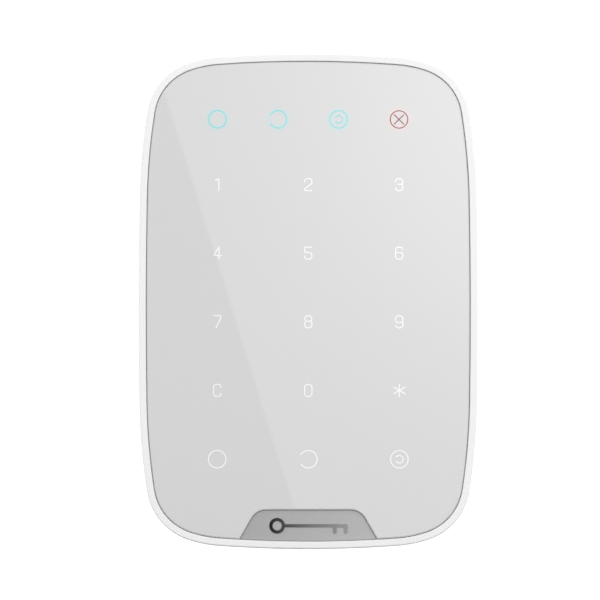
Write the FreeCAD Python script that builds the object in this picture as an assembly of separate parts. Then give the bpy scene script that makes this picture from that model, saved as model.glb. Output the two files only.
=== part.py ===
import FreeCAD, Part
import math
import os

from FreeCAD import Vector

# Wireless alarm keypad on its wall bracket: a slim upright box with bowed sides, a touch panel in front,
# four AAA cells in two side bays, a circuit board between them and a slide-off bracket in the back.
#
# Millimetres. +X is to the right as the keypad is read, +Z is up, and the keypad faces -Y.
# The origin is on the wall, behind the middle of the keypad, so every part of it has y <= 0.

# ---------------------------------------------------------------- driving dimensions
WIDTH = 103.0
HEIGHT = 150.5
DEPTH = 14.0

# Outline: five tangent arcs in each quadrant. The side and end radii follow from the width and height.
SHOULDER_RADIUS = 197.0
CORNER_RADIUS = 18.4
BROW_RADIUS = 37.9
TURNS = [math.radians(t) for t in (0.0, 0.97, 8.89, 71.18, 85.85, 90.0)]

WALL = 1.6  # case walls
RIM = 2.2  # white rim round the panel
EDGE_ROUND = 0.5  # outer front edge of the case
LIP_ROUND = 0.25  # inner edge of the rim
BACK_ROUND = 2.4
LEDGE = 5.4  # inner edge of the panel's ledge, from the outline
FRONT = -DEPTH
REAR = -0.7  # back edge of the case, clear of the wall
SEAM = -6.0  # where the front and rear housings meet
REAR_SKIN = 1.2
SEAM_CHAMFER = 0.25
TONGUE = 1.1  # thickness of the rear housing's tongue, which fits inside the front housing
TONGUE_FRONT = -7.4
FIT = 0.1  # clearance of a fitted part, each side

PANEL_BACK = -12.85
PANEL_FRONT = -13.95
PANEL_GAP = 0.22
PANEL_ROUND = 0.45
NOTCH_BLUNT = 0.7  # rounds the points where the badge notch runs out at the panel's edge
LEDGE_FRONT = -12.65
LEDGE_BACK = -11.65
FILM_BACK = -12.70

# Recess in the back that takes the bracket
RECESS_HALF_WIDTH = 33.2
RECESS_TOP = 57.5
RECESS_BOTTOM = -64.0
RECESS_FLOOR = -3.8
FLOOR_THICK = 1.4
FLOOR_INNER = RECESS_FLOOR - FLOOR_THICK
LIFT = 5.0  # the case rises this far to come off the hooks
RECESS_WALL = 1.4
SLOT_CLEAR = 0.5  # round a hook in its slot
CRADLES = (-36.0, -12.0, 12.0, 36.0)  # heights of the ribs that cradle the cells
RIB_HALF = 0.6

# Wall bracket
BRACKET_THICK = 2.0
BRACKET_HALF_WIDTH = 32.0
BRACKET_TOP = 55.5
BRACKET_BOTTOM = -57.0
FOOT_BOTTOM = -58.5
FOOT_HALF_WIDTH = 6.0
FOOT_FRONT = -5.9
SCREW_X = 26.0
SCREW_Z = 48.0
SCREW_HOLE = 2.1
SCREW_HEAD = 4.3
SCREW_HEAD_DEPTH = 1.0
HOOK_X = 22.0
HOOK_Z = (34.0, -38.0)
HOOK_WIDTH = 6.0
STEM = 2.5
LIP_LENGTH = 4.2
LIP_FRONT = -6.95
LIP_BACK = -5.45
WINDOW_HALF_WIDTH = 15.0
WINDOWS = ((21.0, 46.0), (-50.0, -24.0))
TAB_HALF_WIDTH = 11.5
TAB_TOP = 14.5
TAB_BOTTOM = -16.5
TAB_SCREW_Z = -9.0
SLOT_HALF = 0.5  # half width of the slots that weaken the tab's edge

# Tamper plunger and the ramp it rides down as the case is lifted off
TAMPER_Z = 5.0
TAMPER_TRAVEL = 1.0
RAMP_AT_PLUNGER = -2.6
RAMP_SLOPE = TAMPER_TRAVEL / LIFT
RAMP_HALF_WIDTH = 3.0
TIP_RADIUS = 1.8
TIP_GAP = 0.05
PLUNGER_RADIUS = 1.8

# Power button
POWER_X = -7.0
POWER_Z = 33.0
POWER_CAP = 2.95
POWER_FACE = -3.4
POWER_STEM_TOP = -5.85
POWER_STEM_FOOT = -7.1
SOUNDER_X = 7.0
SOUNDER_Z = 33.0
SOUNDER_BACK = -6.2
GRILLE_RING = 2.4
GRILLE_HOLE = 0.6

# Lock screw, up through the underside into the bracket's foot
LOCK_Y = -3.4
LOCK_SEAT = -72.6
LOCK_TIP = -56.4
LOCK_SHANK = 1.2
LOCK_HEAD = 2.0

# Board and light baffle
BOARD_BACK = -9.0
BOARD_FRONT = -10.0
BOARD_HALF_WIDTH = 33.4
BOARD_HALF_HEIGHT = 66.5
BOARD_POST = (29.0, 63.6)
BAFFLE_TOP = 61.2
BAFFLE_BOTTOM = -60.0
BAFFLE_FRONT = -12.55
DIFFUSER_BACK = -11.1

# Key grid: three columns, five rows of keys, and four indicators above them
COLUMN_PITCH = 27.6
ROW_PITCH = 20.85
FIRST_ROW = 35.3
INDICATOR_Z = 55.2
KEYS = [
    (column * COLUMN_PITCH, FIRST_ROW - row * ROW_PITCH) for row in range(5) for column in (-1, 0, 1)
]
INDICATORS = [(x * COLUMN_PITCH, INDICATOR_Z) for x in (-1, -1 / 3, 1 / 3, 1)]

# Batteries: two AAA cells end to end in each side bay
CELL_RADIUS = 5.2
CELL_BODY = 43.5
CELL_LENGTH = 44.5
CELL_NUB = 1.9
CELL_X = 40.4
CELL_Y = -7.3
BAY_HALF = 47.9
CONTACT_THICK = 0.4
SPRING_LENGTH = 6.0

# Case screws
CASE_SCREW = (37.5, 60.5)
CASE_SHANK = 1.2
CASE_SEAT = -3.3
CASE_HEAD = 2.3
CASE_TIP = -10.8
BOARD_SHANK = 0.8
BOARD_TIP = -12.0

# Badge: a trapezoid with rounded top corners in the panel's bottom edge
BADGE_TOP = -63.4
BADGE_TOP_HALF = 15.75
BADGE_LEAN = math.radians(30.0)  # of its two sides, from upright
BADGE_CORNER = 5.2
BADGE_FRONT = -13.25
BADGE_CLEAR = 0.12
EMBLEM_FRONT = -13.45


# ---------------------------------------------------------------- helpers
def box(x0, x1, y0, y1, z0, z1):
    return Part.makeBox(x1 - x0, abs(y1 - y0), z1 - z0, Vector(x0, min(y0, y1), z0))


def disc(x, z, radius, y0, y1):
    """Cylinder along Y."""
    return Part.makeCylinder(radius, abs(y1 - y0), Vector(x, min(y0, y1), z), Vector(0, 1, 0))


def post(x, y, radius, z0, z1):
    """Cylinder along Z."""
    return Part.makeCylinder(radius, z1 - z0, Vector(x, y, z0), Vector(0, 0, 1))


def plate(x0, x1, z0, z1, y0, y1, radius):
    """Box with its four corners rounded about Y."""
    solid = box(x0, x1, y0, y1, z0, z1)
    upright = [e for e in solid.Edges if abs(e.Vertexes[0].Y - e.Vertexes[1].Y) > 1e-6]
    return solid.makeFillet(radius, upright)


def fuse(shapes):
    first, *rest = shapes
    return first.fuse(rest).removeSplitter() if rest else first


def cut(shape, tools):
    return shape.cut(tools) if tools else shape


def corners(x, z):
    return [(sx * x, sz * z) for sx in (-1, 1) for sz in (-1, 1)]


def outline_arcs():
    """Centres and radii of the tangent arcs in the +X +Z quadrant, from the side to the end."""
    half_width, half_height = WIDTH / 2, HEIGHT / 2
    sine = [math.sin(t) for t in TURNS]
    cosine = [math.cos(t) for t in TURNS]
    middle = (SHOULDER_RADIUS, CORNER_RADIUS, BROW_RADIUS)
    # The chain closes when the last centre is on x = 0 and the end arc reaches the half height.
    across = SHOULDER_RADIUS * cosine[1] - half_width - BROW_RADIUS * cosine[4]
    upward = SHOULDER_RADIUS * sine[1] + half_height - BROW_RADIUS * sine[4]
    for first, second, turn in ((0, 1, 2), (1, 2, 3)):
        step = middle[first] - middle[second]
        across -= step * cosine[turn]
        upward -= step * sine[turn]
    a, b, c, d = cosine[1] - 1, -cosine[4], sine[1], 1 - sine[4]
    determinant = a * d - b * c
    side_radius = (across * d - b * upward) / determinant
    end_radius = (a * upward - across * c) / determinant
    radii = [side_radius, *middle, end_radius]
    centres = [(half_width - side_radius, 0.0)]
    for i in range(4):
        step = radii[i] - radii[i + 1]
        x, z = centres[-1]
        centres.append((x + step * cosine[i + 1], z + step * sine[i + 1]))
    return centres, radii


ARC_CENTRES, ARC_RADII = outline_arcs()


def outline(offset, y):
    """Closed outline of the keypad, moved out by offset, at the depth y."""

    def point(i, turn, sx, sz):
        x, z = ARC_CENTRES[i]
        radius = ARC_RADII[i] + offset
        return Vector(sx * (x + radius * math.cos(turn)), y, sz * (z + radius * math.sin(turn)))

    def bend(sx, sz):
        found = []
        for i in (1, 2, 3):
            ends = (TURNS[i], (TURNS[i] + TURNS[i + 1]) / 2, TURNS[i + 1])
            points = [point(i, t, sx, sz) for t in ends]
            found.append(points)
        return found

    def back(found):
        return [list(reversed(points)) for points in reversed(found)]

    def side(sx, sz):
        return [[point(0, TURNS[1], sx, -sz), point(0, 0.0, sx, sz), point(0, TURNS[1], sx, sz)]]

    def end(sx, sz):
        return [[point(4, TURNS[4], sx, sz), point(4, TURNS[5], sx, sz), point(4, TURNS[4], -sx, sz)]]

    ring = side(1, 1) + bend(1, 1) + end(1, 1) + back(bend(-1, 1))
    ring += side(-1, -1) + bend(-1, -1) + end(-1, -1) + back(bend(1, -1))
    return Part.Wire([Part.Arc(*points).toShape() for points in ring])


def slab(offset, y0, y1):
    """The outline, moved out by offset, filled from depth y0 to y1."""
    low, high = min(y0, y1), max(y0, y1)
    return Part.Face(outline(offset, low)).extrude(Vector(0, high - low, 0))


def ring(outer, inner, y0, y1):
    """A band of the slab between two offsets of the outline."""
    low, high = min(y0, y1), max(y0, y1)
    return slab(outer, low, high).cut(slab(inner, low - 1.0, high + 1.0))


def edges_at(shape, y):
    """Edges that lie flat at the depth y."""
    return [
        e
        for e in shape.Edges
        if all(abs(v.Y - y) < 1e-6 for v in e.Vertexes) and abs(e.CenterOfMass.y - y) < 1e-6
    ]


def cross_recess(x, y, z, size, depth, axis):
    """A cross-shaped driver recess in a screw head whose top is at (x, y, z), cut along axis."""
    thick = size * 0.28
    if axis == "y":
        return [
            box(x - size / 2, x + size / 2, y, y - depth, z - thick / 2, z + thick / 2),
            box(x - thick / 2, x + thick / 2, y, y - depth, z - size / 2, z + size / 2),
        ]
    return [
        box(x - size / 2, x + size / 2, y - thick / 2, y + thick / 2, z, z + depth),
        box(x - thick / 2, x + thick / 2, y - size / 2, y + size / 2, z, z + depth),
    ]


def coil(start, axis, radius, end_radius, length, turns, wire):
    """A closed-section helical wire from start along axis, its ends kept whole."""
    angle = math.degrees(math.atan2(end_radius - radius, length))
    helix = Part.makeHelix(length / turns, length, radius, angle)
    # The section stands across the helix's first tangent.
    tangent = helix.Edges[0].tangentAt(helix.Edges[0].FirstParameter)
    begin = helix.Edges[0].valueAt(helix.Edges[0].FirstParameter)
    section = Part.Wire(Part.makeCircle(wire, begin, tangent))
    solid = Part.Wire(helix.Edges).makePipeShell([section], True, True)
    turn = FreeCAD.Rotation(Vector(0, 0, 1), axis)
    return solid.transformGeometry(FreeCAD.Placement(start, turn).toMatrix())


def panel_notch(grow):
    """Badge trapezoid, grown by grow, running out past the bottom of the panel."""
    top = BADGE_TOP + grow
    half = BADGE_TOP_HALF + grow * math.tan((math.pi / 2 - BADGE_LEAN) / 2)
    bottom = -HEIGHT / 2 - 5.0
    reach = half + (top - bottom) * math.tan(BADGE_LEAN)
    points = [(-reach, bottom), (-half, top), (half, top), (reach, bottom)]
    wire = Part.makePolygon([Vector(x, FRONT - 1.0, z) for x, z in points + points[:1]])
    solid = Part.Face(wire).extrude(Vector(0, 3.0, 0))
    top_edges = [e for e in solid.Edges if all(abs(v.Z - top) < 1e-6 for v in e.Vertexes)]
    shoulders = [e for e in top_edges if abs(e.CenterOfMass.x) > 1.0]
    return solid.makeFillet(BADGE_CORNER + grow, shoulders)


# ---------------------------------------------------------------- wall bracket
def hook(x, z):
    bottom = z - STEM / 2
    top = bottom + STEM + LIP_LENGTH
    left, right = x - HOOK_WIDTH / 2, x + HOOK_WIDTH / 2
    stem = box(left, right, -BRACKET_THICK, LIP_FRONT, bottom, bottom + STEM)
    lip = box(left, right, LIP_BACK, LIP_FRONT, bottom, top)
    solid = stem.fuse(lip).removeSplitter()
    top_edges = [e for e in solid.Edges if all(abs(v.Z - top) < 1e-6 for v in e.Vertexes)]
    nose = [e for e in top_edges if all(abs(v.Y - LIP_BACK) < 1e-6 for v in e.Vertexes)]
    return solid.makeChamfer(0.5, nose)


def tamper_ramp():
    """Wedge on the break-away tab, and the pocket round it.

    The wedge's face falls towards the wall as z rises, at the plunger's own rate.
    """
    low, high = TAMPER_Z - 3.0, TAMPER_Z + LIFT + 2.5

    def face_y(z):
        return RAMP_AT_PLUNGER + RAMP_SLOPE * (z - TAMPER_Z)

    points = [(-0.6, low), (face_y(low), low), (face_y(high), high), (-0.6, high)]
    wire = Part.makePolygon([Vector(-RAMP_HALF_WIDTH, y, z) for y, z in points + points[:1]])
    wedge = Part.Face(wire).extrude(Vector(2 * RAMP_HALF_WIDTH, 0, 0))
    reach = RAMP_HALF_WIDTH + 0.4
    return wedge, box(-reach, reach, -1.2, -9.0, low - 0.4, high + 0.4)


def wall_bracket():
    body = plate(
        -BRACKET_HALF_WIDTH, BRACKET_HALF_WIDTH, BRACKET_BOTTOM, BRACKET_TOP, 0.0, -BRACKET_THICK, 7.0
    )
    body = body.makeChamfer(0.4, edges_at(body, -BRACKET_THICK))
    foot = box(-FOOT_HALF_WIDTH, FOOT_HALF_WIDTH, 0.0, FOOT_FRONT, FOOT_BOTTOM, BRACKET_BOTTOM)
    web = box(-FOOT_HALF_WIDTH, FOOT_HALF_WIDTH, 0.0, -BRACKET_THICK, BRACKET_BOTTOM, BRACKET_BOTTOM + 1.0)
    wedge, pocket = tamper_ramp()
    body = cut(body, [pocket])
    body = fuse([body, foot, web, wedge] + [hook(sx * HOOK_X, z) for sx in (-1, 1) for z in HOOK_Z])
    tools = [post(0.0, LOCK_Y, LOCK_SHANK + 0.3, FOOT_BOTTOM - 1.0, BRACKET_BOTTOM + 1.0)]
    behind, ahead = 1.0, -BRACKET_THICK - 1.0  # the cutters run past both faces
    for bottom, top in WINDOWS:
        tools.append(plate(-WINDOW_HALF_WIDTH, WINDOW_HALF_WIDTH, bottom, top, behind, ahead, 3.0))
    for x, z in corners(SCREW_X, SCREW_Z) + [(0.0, TAB_SCREW_Z)]:
        tools.append(disc(x, z, SCREW_HOLE, behind, ahead))
        tools.append(disc(x, z, SCREW_HEAD, -BRACKET_THICK + SCREW_HEAD_DEPTH, ahead))
    # Core-outs under the hook lips
    for sx in (-1, 1):
        for z in HOOK_Z:
            low = z + STEM / 2
            tools.append(box(sx * HOOK_X - 2.8, sx * HOOK_X + 2.8, behind, ahead, low, low + LIP_LENGTH))
    # Perforation round the break-away tamper tab
    for sx in (-1, 1):
        for low, high in ((-14.0, -3.0), (1.0, 12.0)):
            x = sx * TAB_HALF_WIDTH
            tools.append(box(x - SLOT_HALF, x + SLOT_HALF, behind, ahead, low, high))
        for z in (TAB_TOP, TAB_BOTTOM):
            x0, x1 = sorted((sx * 1.5, sx * 9.0))
            tools.append(box(x0, x1, behind, ahead, z - SLOT_HALF, z + SLOT_HALF))
    # Finger scallops in the two long edges
    for sx in (-1, 1):
        tools.append(disc(sx * (BRACKET_HALF_WIDTH + 5.5), 0.0, 7.5, behind, ahead))
    return cut(body, tools)


# ---------------------------------------------------------------- rear housing
def hook_slot(x, z):
    reach = HOOK_WIDTH / 2 + SLOT_CLEAR
    low, high = z - STEM / 2 - LIFT - SLOT_CLEAR, z + STEM / 2 + FIT
    return box(x - reach, x + reach, RECESS_FLOOR + 1.0, FLOOR_INNER - 1.0, low, high)


def rear_housing():
    skin = REAR - REAR_SKIN
    shell = slab(0.0, REAR, SEAM)
    shell = shell.makeFillet(BACK_ROUND, edges_at(shell, REAR))
    shell = shell.makeChamfer(SEAM_CHAMFER, edges_at(shell, SEAM))
    shell = cut(shell, [slab(-WALL, skin, SEAM - 1.0)])
    added = [
        ring(-WALL + 0.2, -WALL - TONGUE, SEAM + 1.2, SEAM),
        ring(-WALL - FIT, -WALL - TONGUE, SEAM + 0.6, TONGUE_FRONT),
    ]
    across = RECESS_HALF_WIDTH + RECESS_WALL
    low, high = RECESS_BOTTOM - RECESS_WALL, RECESS_TOP + RECESS_WALL
    added.append(plate(-across, across, low, high, REAR - 0.5, FLOOR_INNER, 7.0))
    # Deep pocket for the bracket's foot, and the boss that holds the lock screw
    pocket = FOOT_HALF_WIDTH + SLOT_CLEAR
    added.append(box(-pocket - 1.2, pocket + 1.2, skin, FOOT_FRONT - 1.5, low, BRACKET_BOTTOM + 2.4))
    boss = box(-5.0, 5.0, skin, SEAM, -HEIGHT / 2, RECESS_BOTTOM)
    added.append(boss.common(slab(-WALL + 0.2, 0.0, SEAM)))
    for x, z in corners(*CASE_SCREW):
        added.append(disc(x, z, 3.2, skin, SEAM))
    # Battery cradles and the end walls that carry the contacts
    for sx in (-1, 1):
        x0, x1 = sorted((sx * 34.6, sx * 46.4))
        for z in CRADLES:
            rib = box(x0, x1, skin, -4.6, z - RIB_HALF, z + RIB_HALF)
            added.append(cut(rib, [post(sx * CELL_X, CELL_Y, CELL_RADIUS + 0.06, z - 1.0, z + 1.0)]))
        for z in (BAY_HALF + RIB_HALF, -BAY_HALF - RIB_HALF):
            added.append(box(x0, x1, skin, -11.2, z - RIB_HALF, z + RIB_HALF))
    body = fuse([shell] + added)

    tools = [
        plate(-RECESS_HALF_WIDTH, RECESS_HALF_WIDTH, RECESS_BOTTOM, RECESS_TOP, 1.0, RECESS_FLOOR, 6.0),
        box(-pocket, pocket, RECESS_FLOOR + 1.0, FOOT_FRONT - 0.3, RECESS_BOTTOM, BRACKET_BOTTOM + 1.0),
        post(0.0, LOCK_Y, LOCK_SHANK + 0.05, -HEIGHT / 2 - 1.0, RECESS_BOTTOM + 1.0),
        post(0.0, LOCK_Y, LOCK_HEAD + 0.15, -HEIGHT / 2 - 1.0, LOCK_SEAT),
        disc(0.0, TAMPER_Z, PLUNGER_RADIUS + 0.1, RECESS_FLOOR + 1.0, FLOOR_INNER - 1.0),
        disc(POWER_X, POWER_Z, POWER_CAP + 0.15, RECESS_FLOOR + 1.0, FLOOR_INNER - 1.0),
    ]
    tools += [hook_slot(sx * HOOK_X, z) for sx in (-1, 1) for z in HOOK_Z]
    for x, z in corners(*CASE_SCREW):
        tools.append(disc(x, z, CASE_SHANK + 0.2, 1.0, SEAM - 1.0))
        tools.append(disc(x, z, CASE_HEAD + 0.2, 1.0, CASE_SEAT))
    # Sounder grille: one hole ringed by six
    turns = [k * math.pi / 3 for k in range(6)]
    ringed = [(GRILLE_RING * math.cos(t), GRILLE_RING * math.sin(t)) for t in turns]
    for x, z in [(0.0, 0.0)] + ringed:
        tools.append(disc(SOUNDER_X + x, SOUNDER_Z + z, GRILLE_HOLE, RECESS_FLOOR + 1.0, FLOOR_INNER - 1.0))
    return cut(body, tools)


# ---------------------------------------------------------------- front housing
def front_housing():
    shell = slab(0.0, SEAM, FRONT)
    shell = shell.makeFillet(EDGE_ROUND, edges_at(shell, FRONT))
    shell = shell.makeChamfer(SEAM_CHAMFER, edges_at(shell, SEAM))
    # The ledge behind the panel is open in the middle and whole at the four corners, where the bosses stand
    across = box(-WIDTH, WIDTH, 0.0, FRONT, -56.5, 56.5)
    upward = box(-BOARD_HALF_WIDTH - FIT, BOARD_HALF_WIDTH + FIT, 0.0, FRONT, -61.0, 62.0)
    window = slab(-LEDGE, LEDGE_BACK + 1.0, LEDGE_FRONT - 1.0).common(across.fuse(upward))
    shell = cut(shell, [slab(-RIM, LEDGE_FRONT, FRONT - 1.0), slab(-WALL, SEAM + 1.0, LEDGE_BACK), window])
    border = outline(0.0, FRONT)
    lip = [e for e in edges_at(shell, FRONT) if e.distToShape(border)[0] > RIM - 0.1]
    shell = shell.makeFillet(LIP_ROUND, lip)
    bosses = [disc(x, z, 2.8, SEAM, LEDGE_FRONT + 0.2) for x, z in corners(*CASE_SCREW)]
    posts = [disc(x, z, 2.2, BOARD_FRONT, LEDGE_FRONT + 0.2) for x, z in corners(*BOARD_POST)]
    body = fuse([shell] + bosses + posts)
    tools = [disc(x, z, CASE_SHANK, SEAM + 1.0, CASE_TIP - 0.4) for x, z in corners(*CASE_SCREW)]
    tools += [disc(x, z, BOARD_SHANK, BOARD_FRONT + 1.0, BOARD_TIP - 0.2) for x, z in corners(*BOARD_POST)]
    return cut(body, tools)


# ---------------------------------------------------------------- front panel stack
def front_panel():
    solid = cut(slab(-RIM - PANEL_GAP, PANEL_BACK, PANEL_FRONT), [panel_notch(0.0)])
    # Blunt the two sharp points where the sides of the badge notch run out at the panel's edge
    points = [
        e
        for e in solid.Edges
        if e.BoundBox.YLength > 1.0
        and BADGE_TOP_HALF < abs(e.CenterOfMass.x) < BADGE_TOP_HALF + 6.0
        and e.CenterOfMass.z < BADGE_TOP - BADGE_CORNER
    ]
    solid = solid.makeFillet(NOTCH_BLUNT, points)
    return solid.makeFillet(PANEL_ROUND, edges_at(solid, PANEL_FRONT))


def panel_adhesive():
    ring = cut(slab(-RIM - 0.5, LEDGE_FRONT, PANEL_BACK), [slab(-LEDGE + 0.1, 0.0, FRONT - 1.0)])
    return cut(ring, [panel_notch(0.6)])


def touch_film():
    return cut(slab(-LEDGE - 0.2, FILM_BACK, PANEL_BACK), [panel_notch(0.6)])


def touch_film_tail():
    """Flat tail of the film: back past the board's edge, then over the board to its connector."""
    edge = BOARD_HALF_WIDTH + 0.9
    run = box(edge, edge + 0.15, FILM_BACK, -7.6, -6.0, 6.0)
    fold = box(30.0, edge + 0.15, -7.6, -7.45, -6.0, 6.0)
    return fuse([run, fold])


def light_baffle():
    body = plate(-33.0, 33.0, BAFFLE_BOTTOM, BAFFLE_TOP, BOARD_FRONT, BAFFLE_FRONT, 2.0)
    tools = [disc(x, z, 4.4, BOARD_FRONT + 1.0, FRONT) for x, z in INDICATORS]
    for x, z in KEYS:
        # The outer columns sit nearer the edge, so their wells are narrower
        reach = 4.9 if abs(x) > 1.0 else 7.5
        tools.append(plate(x - reach, x + reach, z - 6.5, z + 6.5, BOARD_FRONT + 1.0, FRONT, 2.5))
    return cut(body, tools)


def key_diffusers():
    half = 4.5
    depths = (DIFFUSER_BACK, BAFFLE_FRONT)
    return [plate(x - half, x + half, z - half, z + half, *depths, 2.0) for x, z in KEYS]


def indicator_diffusers():
    return [disc(x, z, 4.0, DIFFUSER_BACK, BAFFLE_FRONT) for x, z in INDICATORS]


def badge_plate():
    body = slab(-RIM - PANEL_GAP, LEDGE_FRONT, BADGE_FRONT).common(panel_notch(-BADGE_CLEAR))
    return body.makeChamfer(0.1, edges_at(body, BADGE_FRONT))


def badge_emblem():
    """A plain key on its side: a ring bow, a shaft and two bits."""
    z = (BADGE_TOP - HEIGHT / 2 + RIM) / 2
    bow_x, tip_x = -9.4, 11.8
    bow = cut(disc(bow_x, z, 2.4, BADGE_FRONT, EMBLEM_FRONT), [disc(bow_x, z, 1.4, 0.0, FRONT)])
    shaft = box(bow_x + 2.1, tip_x, BADGE_FRONT, EMBLEM_FRONT, z - 0.45, z + 0.45)
    bits = [box(x - 1.1, x, BADGE_FRONT, EMBLEM_FRONT, z - 2.2, z) for x in (tip_x - 3.3, tip_x)]
    return fuse([bow, shaft] + bits)


# ---------------------------------------------------------------- circuit board
def main_board():
    wide, tall = BOARD_HALF_WIDTH, BOARD_HALF_HEIGHT
    board = plate(-wide, wide, -tall, tall, BOARD_BACK, BOARD_FRONT, 2.0)
    clear = BOARD_SHANK + 0.3
    holes = [disc(x, z, clear, BOARD_BACK + 1.0, BOARD_FRONT - 1.0) for x, z in corners(*BOARD_POST)]
    return cut(board, holes)


def led(x, z):
    return box(x - 0.8, x + 0.8, BOARD_FRONT, BOARD_FRONT - 0.6, z - 0.4, z + 0.4)


def chip(x, z, side, height, pins, pitch):
    """Square package with gull-wing pins on its four sides, on the back of the board."""
    base, pin_top, half = BOARD_BACK + 0.1, BOARD_BACK + 0.25, 0.12
    solids = [box(x - side / 2, x + side / 2, base, base + height, z - side / 2, z + side / 2)]
    for k in range(pins):
        shift = (k - (pins - 1) / 2) * pitch
        for sign in (-1, 1):
            near, far = sorted((sign * side / 2, sign * (side / 2 + 0.9)))
            level, upright = z + shift, x + shift
            solids.append(box(x + near, x + far, BOARD_BACK, pin_top, level - half, level + half))
            solids.append(box(upright - half, upright + half, BOARD_BACK, pin_top, z + near, z + far))
    return fuse(solids)


def radio_module():
    return box(8.0, 26.0, BOARD_BACK, BOARD_BACK + 0.8, -24.0, -10.0)


def radio_shield():
    top = BOARD_BACK + 0.8
    can = plate(9.5, 24.5, -22.5, -11.5, top, top + 1.6, 0.8)
    inside = plate(9.7, 24.3, -22.3, -11.7, top - 1.0, top + 1.4, 0.6)
    places = [(12.0 + 2.5 * i, -20.0 + 3.0 * j) for i in range(5) for j in range(3)]
    return cut(can, [inside] + [disc(x, z, 0.4, top + 1.0, top + 2.0) for x, z in places])


def antenna(x0, x1, z):
    """Stamped strip standing on two feet along the board's edge."""
    bar = box(x0, x1, BOARD_BACK + 2.2, BOARD_BACK + 2.5, z - 1.0, z + 1.0)
    feet = [box(x, x + 0.3, BOARD_BACK, BOARD_BACK + 2.5, z - 0.6, z + 0.6) for x in (x0, x0 + 3.0)]
    end = box(x1 - 0.3, x1, BOARD_BACK + 0.9, BOARD_BACK + 2.5, z - 1.0, z + 1.0)
    return fuse([bar, end] + feet)


def board_parts():
    """Chip resistors and capacitors in rows round the two chips."""
    rows = [(-22.0, 17.0), (-22.0, -2.0), (9.0, -4.0), (-26.0, -55.0), (2.0, -56.0), (12.0, 52.0)]
    found = []
    for x, z in rows:
        for k in range(5):
            cx = x + 2.4 * k
            found.append(box(cx - 0.8, cx + 0.8, BOARD_BACK, BOARD_BACK + 0.5, z - 0.4, z + 0.4))
    return found


def reservoir_capacitors():
    return [disc(x, -50.0, 3.1, BOARD_BACK, BOARD_BACK + 3.0) for x in (-11.0, -3.5)]


def crystal():
    return plate(-4.0, 0.0, -16.0, -12.5, BOARD_BACK, BOARD_BACK + 0.9, 0.4)


def film_connector():
    body = box(26.0, 30.0, BOARD_BACK, -7.2, -7.0, 7.0)
    return cut(body, [box(29.0, 31.0, -7.62, -7.43, -6.1, 6.1)])


def sounder():
    can = disc(SOUNDER_X, SOUNDER_Z, 6.0, BOARD_BACK, SOUNDER_BACK)
    can = can.makeFillet(0.5, edges_at(can, SOUNDER_BACK))
    return cut(can, [disc(SOUNDER_X, SOUNDER_Z, 1.0, SOUNDER_BACK - 0.7, SOUNDER_BACK + 0.2)])


def sounder_gasket():
    pad = disc(SOUNDER_X, SOUNDER_Z, 4.6, SOUNDER_BACK, FLOOR_INNER)
    return cut(pad, [disc(SOUNDER_X, SOUNDER_Z, 3.4, SOUNDER_BACK - 1.0, FLOOR_INNER + 1.0)])


# ---------------------------------------------------------------- tamper and power controls
def tamper_plunger():
    """Dome-tipped pin through the recess floor. Its flange holds it in and its tail works the switch."""
    slant = math.sqrt(1.0 + RAMP_SLOPE**2)
    centre = RAMP_AT_PLUNGER - (TIP_RADIUS + TIP_GAP) * slant
    tip = Part.makeSphere(TIP_RADIUS, Vector(0.0, centre, TAMPER_Z))
    flange_front = FLOOR_INNER - TAMPER_TRAVEL - 0.15
    shaft = disc(0.0, TAMPER_Z, PLUNGER_RADIUS, centre, flange_front)
    flange = disc(0.0, TAMPER_Z, 3.2, flange_front, flange_front - 0.75)
    tail = disc(0.0, TAMPER_Z, 1.0, flange_front - 0.75, -8.15)
    return fuse([tip, shaft, flange, tail])


def tamper_spring():
    top = FLOOR_INNER - TAMPER_TRAVEL - 0.9
    wire = 0.16
    start = Vector(0.0, BOARD_BACK + wire + 0.02, TAMPER_Z)
    return coil(start, Vector(0, 1, 0), 2.3, 2.3, top - BOARD_BACK - 2 * wire - 0.04, 3.0, wire)


def tamper_switch():
    return box(-1.6, 1.6, BOARD_BACK, BOARD_BACK + 0.8, TAMPER_Z - 1.2, TAMPER_Z + 1.2)


def power_button():
    cap = disc(POWER_X, POWER_Z, POWER_CAP, POWER_FACE, FLOOR_INNER - 0.1)
    cap = cap.makeFillet(0.35, edges_at(cap, POWER_FACE))
    groove = cut(
        disc(POWER_X, POWER_Z, 1.7, POWER_FACE + 0.4, POWER_FACE - 0.2),
        [disc(POWER_X, POWER_Z, 1.3, POWER_FACE + 1.4, POWER_FACE - 0.6)],
    )
    flange = disc(POWER_X, POWER_Z, 3.8, FLOOR_INNER - 0.05, POWER_STEM_TOP)
    stem = disc(POWER_X, POWER_Z, 1.5, POWER_STEM_TOP, POWER_STEM_FOOT)
    return fuse([cut(cap, [groove]), flange, stem])


def power_switch():
    body = box(POWER_X - 3.0, POWER_X + 3.0, BOARD_BACK, -7.6, POWER_Z - 3.0, POWER_Z + 3.0)
    return cut(body, [disc(POWER_X, POWER_Z, 1.75, -7.0, -8.85)])


def power_switch_stem():
    return disc(POWER_X, POWER_Z, 1.6, POWER_STEM_FOOT, -8.25)


def lock_screw():

    def rim_at(solid, z):
        return [e for e in solid.Edges if len(e.Vertexes) == 1 and abs(e.CenterOfMass.z - z) < 1e-6]

    bottom = LOCK_SEAT - 1.7
    head = post(0.0, LOCK_Y, LOCK_HEAD, bottom, LOCK_SEAT)
    head = head.makeFillet(0.5, rim_at(head, bottom))
    shank = post(0.0, LOCK_Y, LOCK_SHANK, LOCK_SEAT, LOCK_TIP)
    shank = shank.makeChamfer(0.4, rim_at(shank, LOCK_TIP))
    return cut(fuse([head, shank]), cross_recess(0.0, LOCK_Y, bottom, 2.0, 1.0, "z"))


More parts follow.
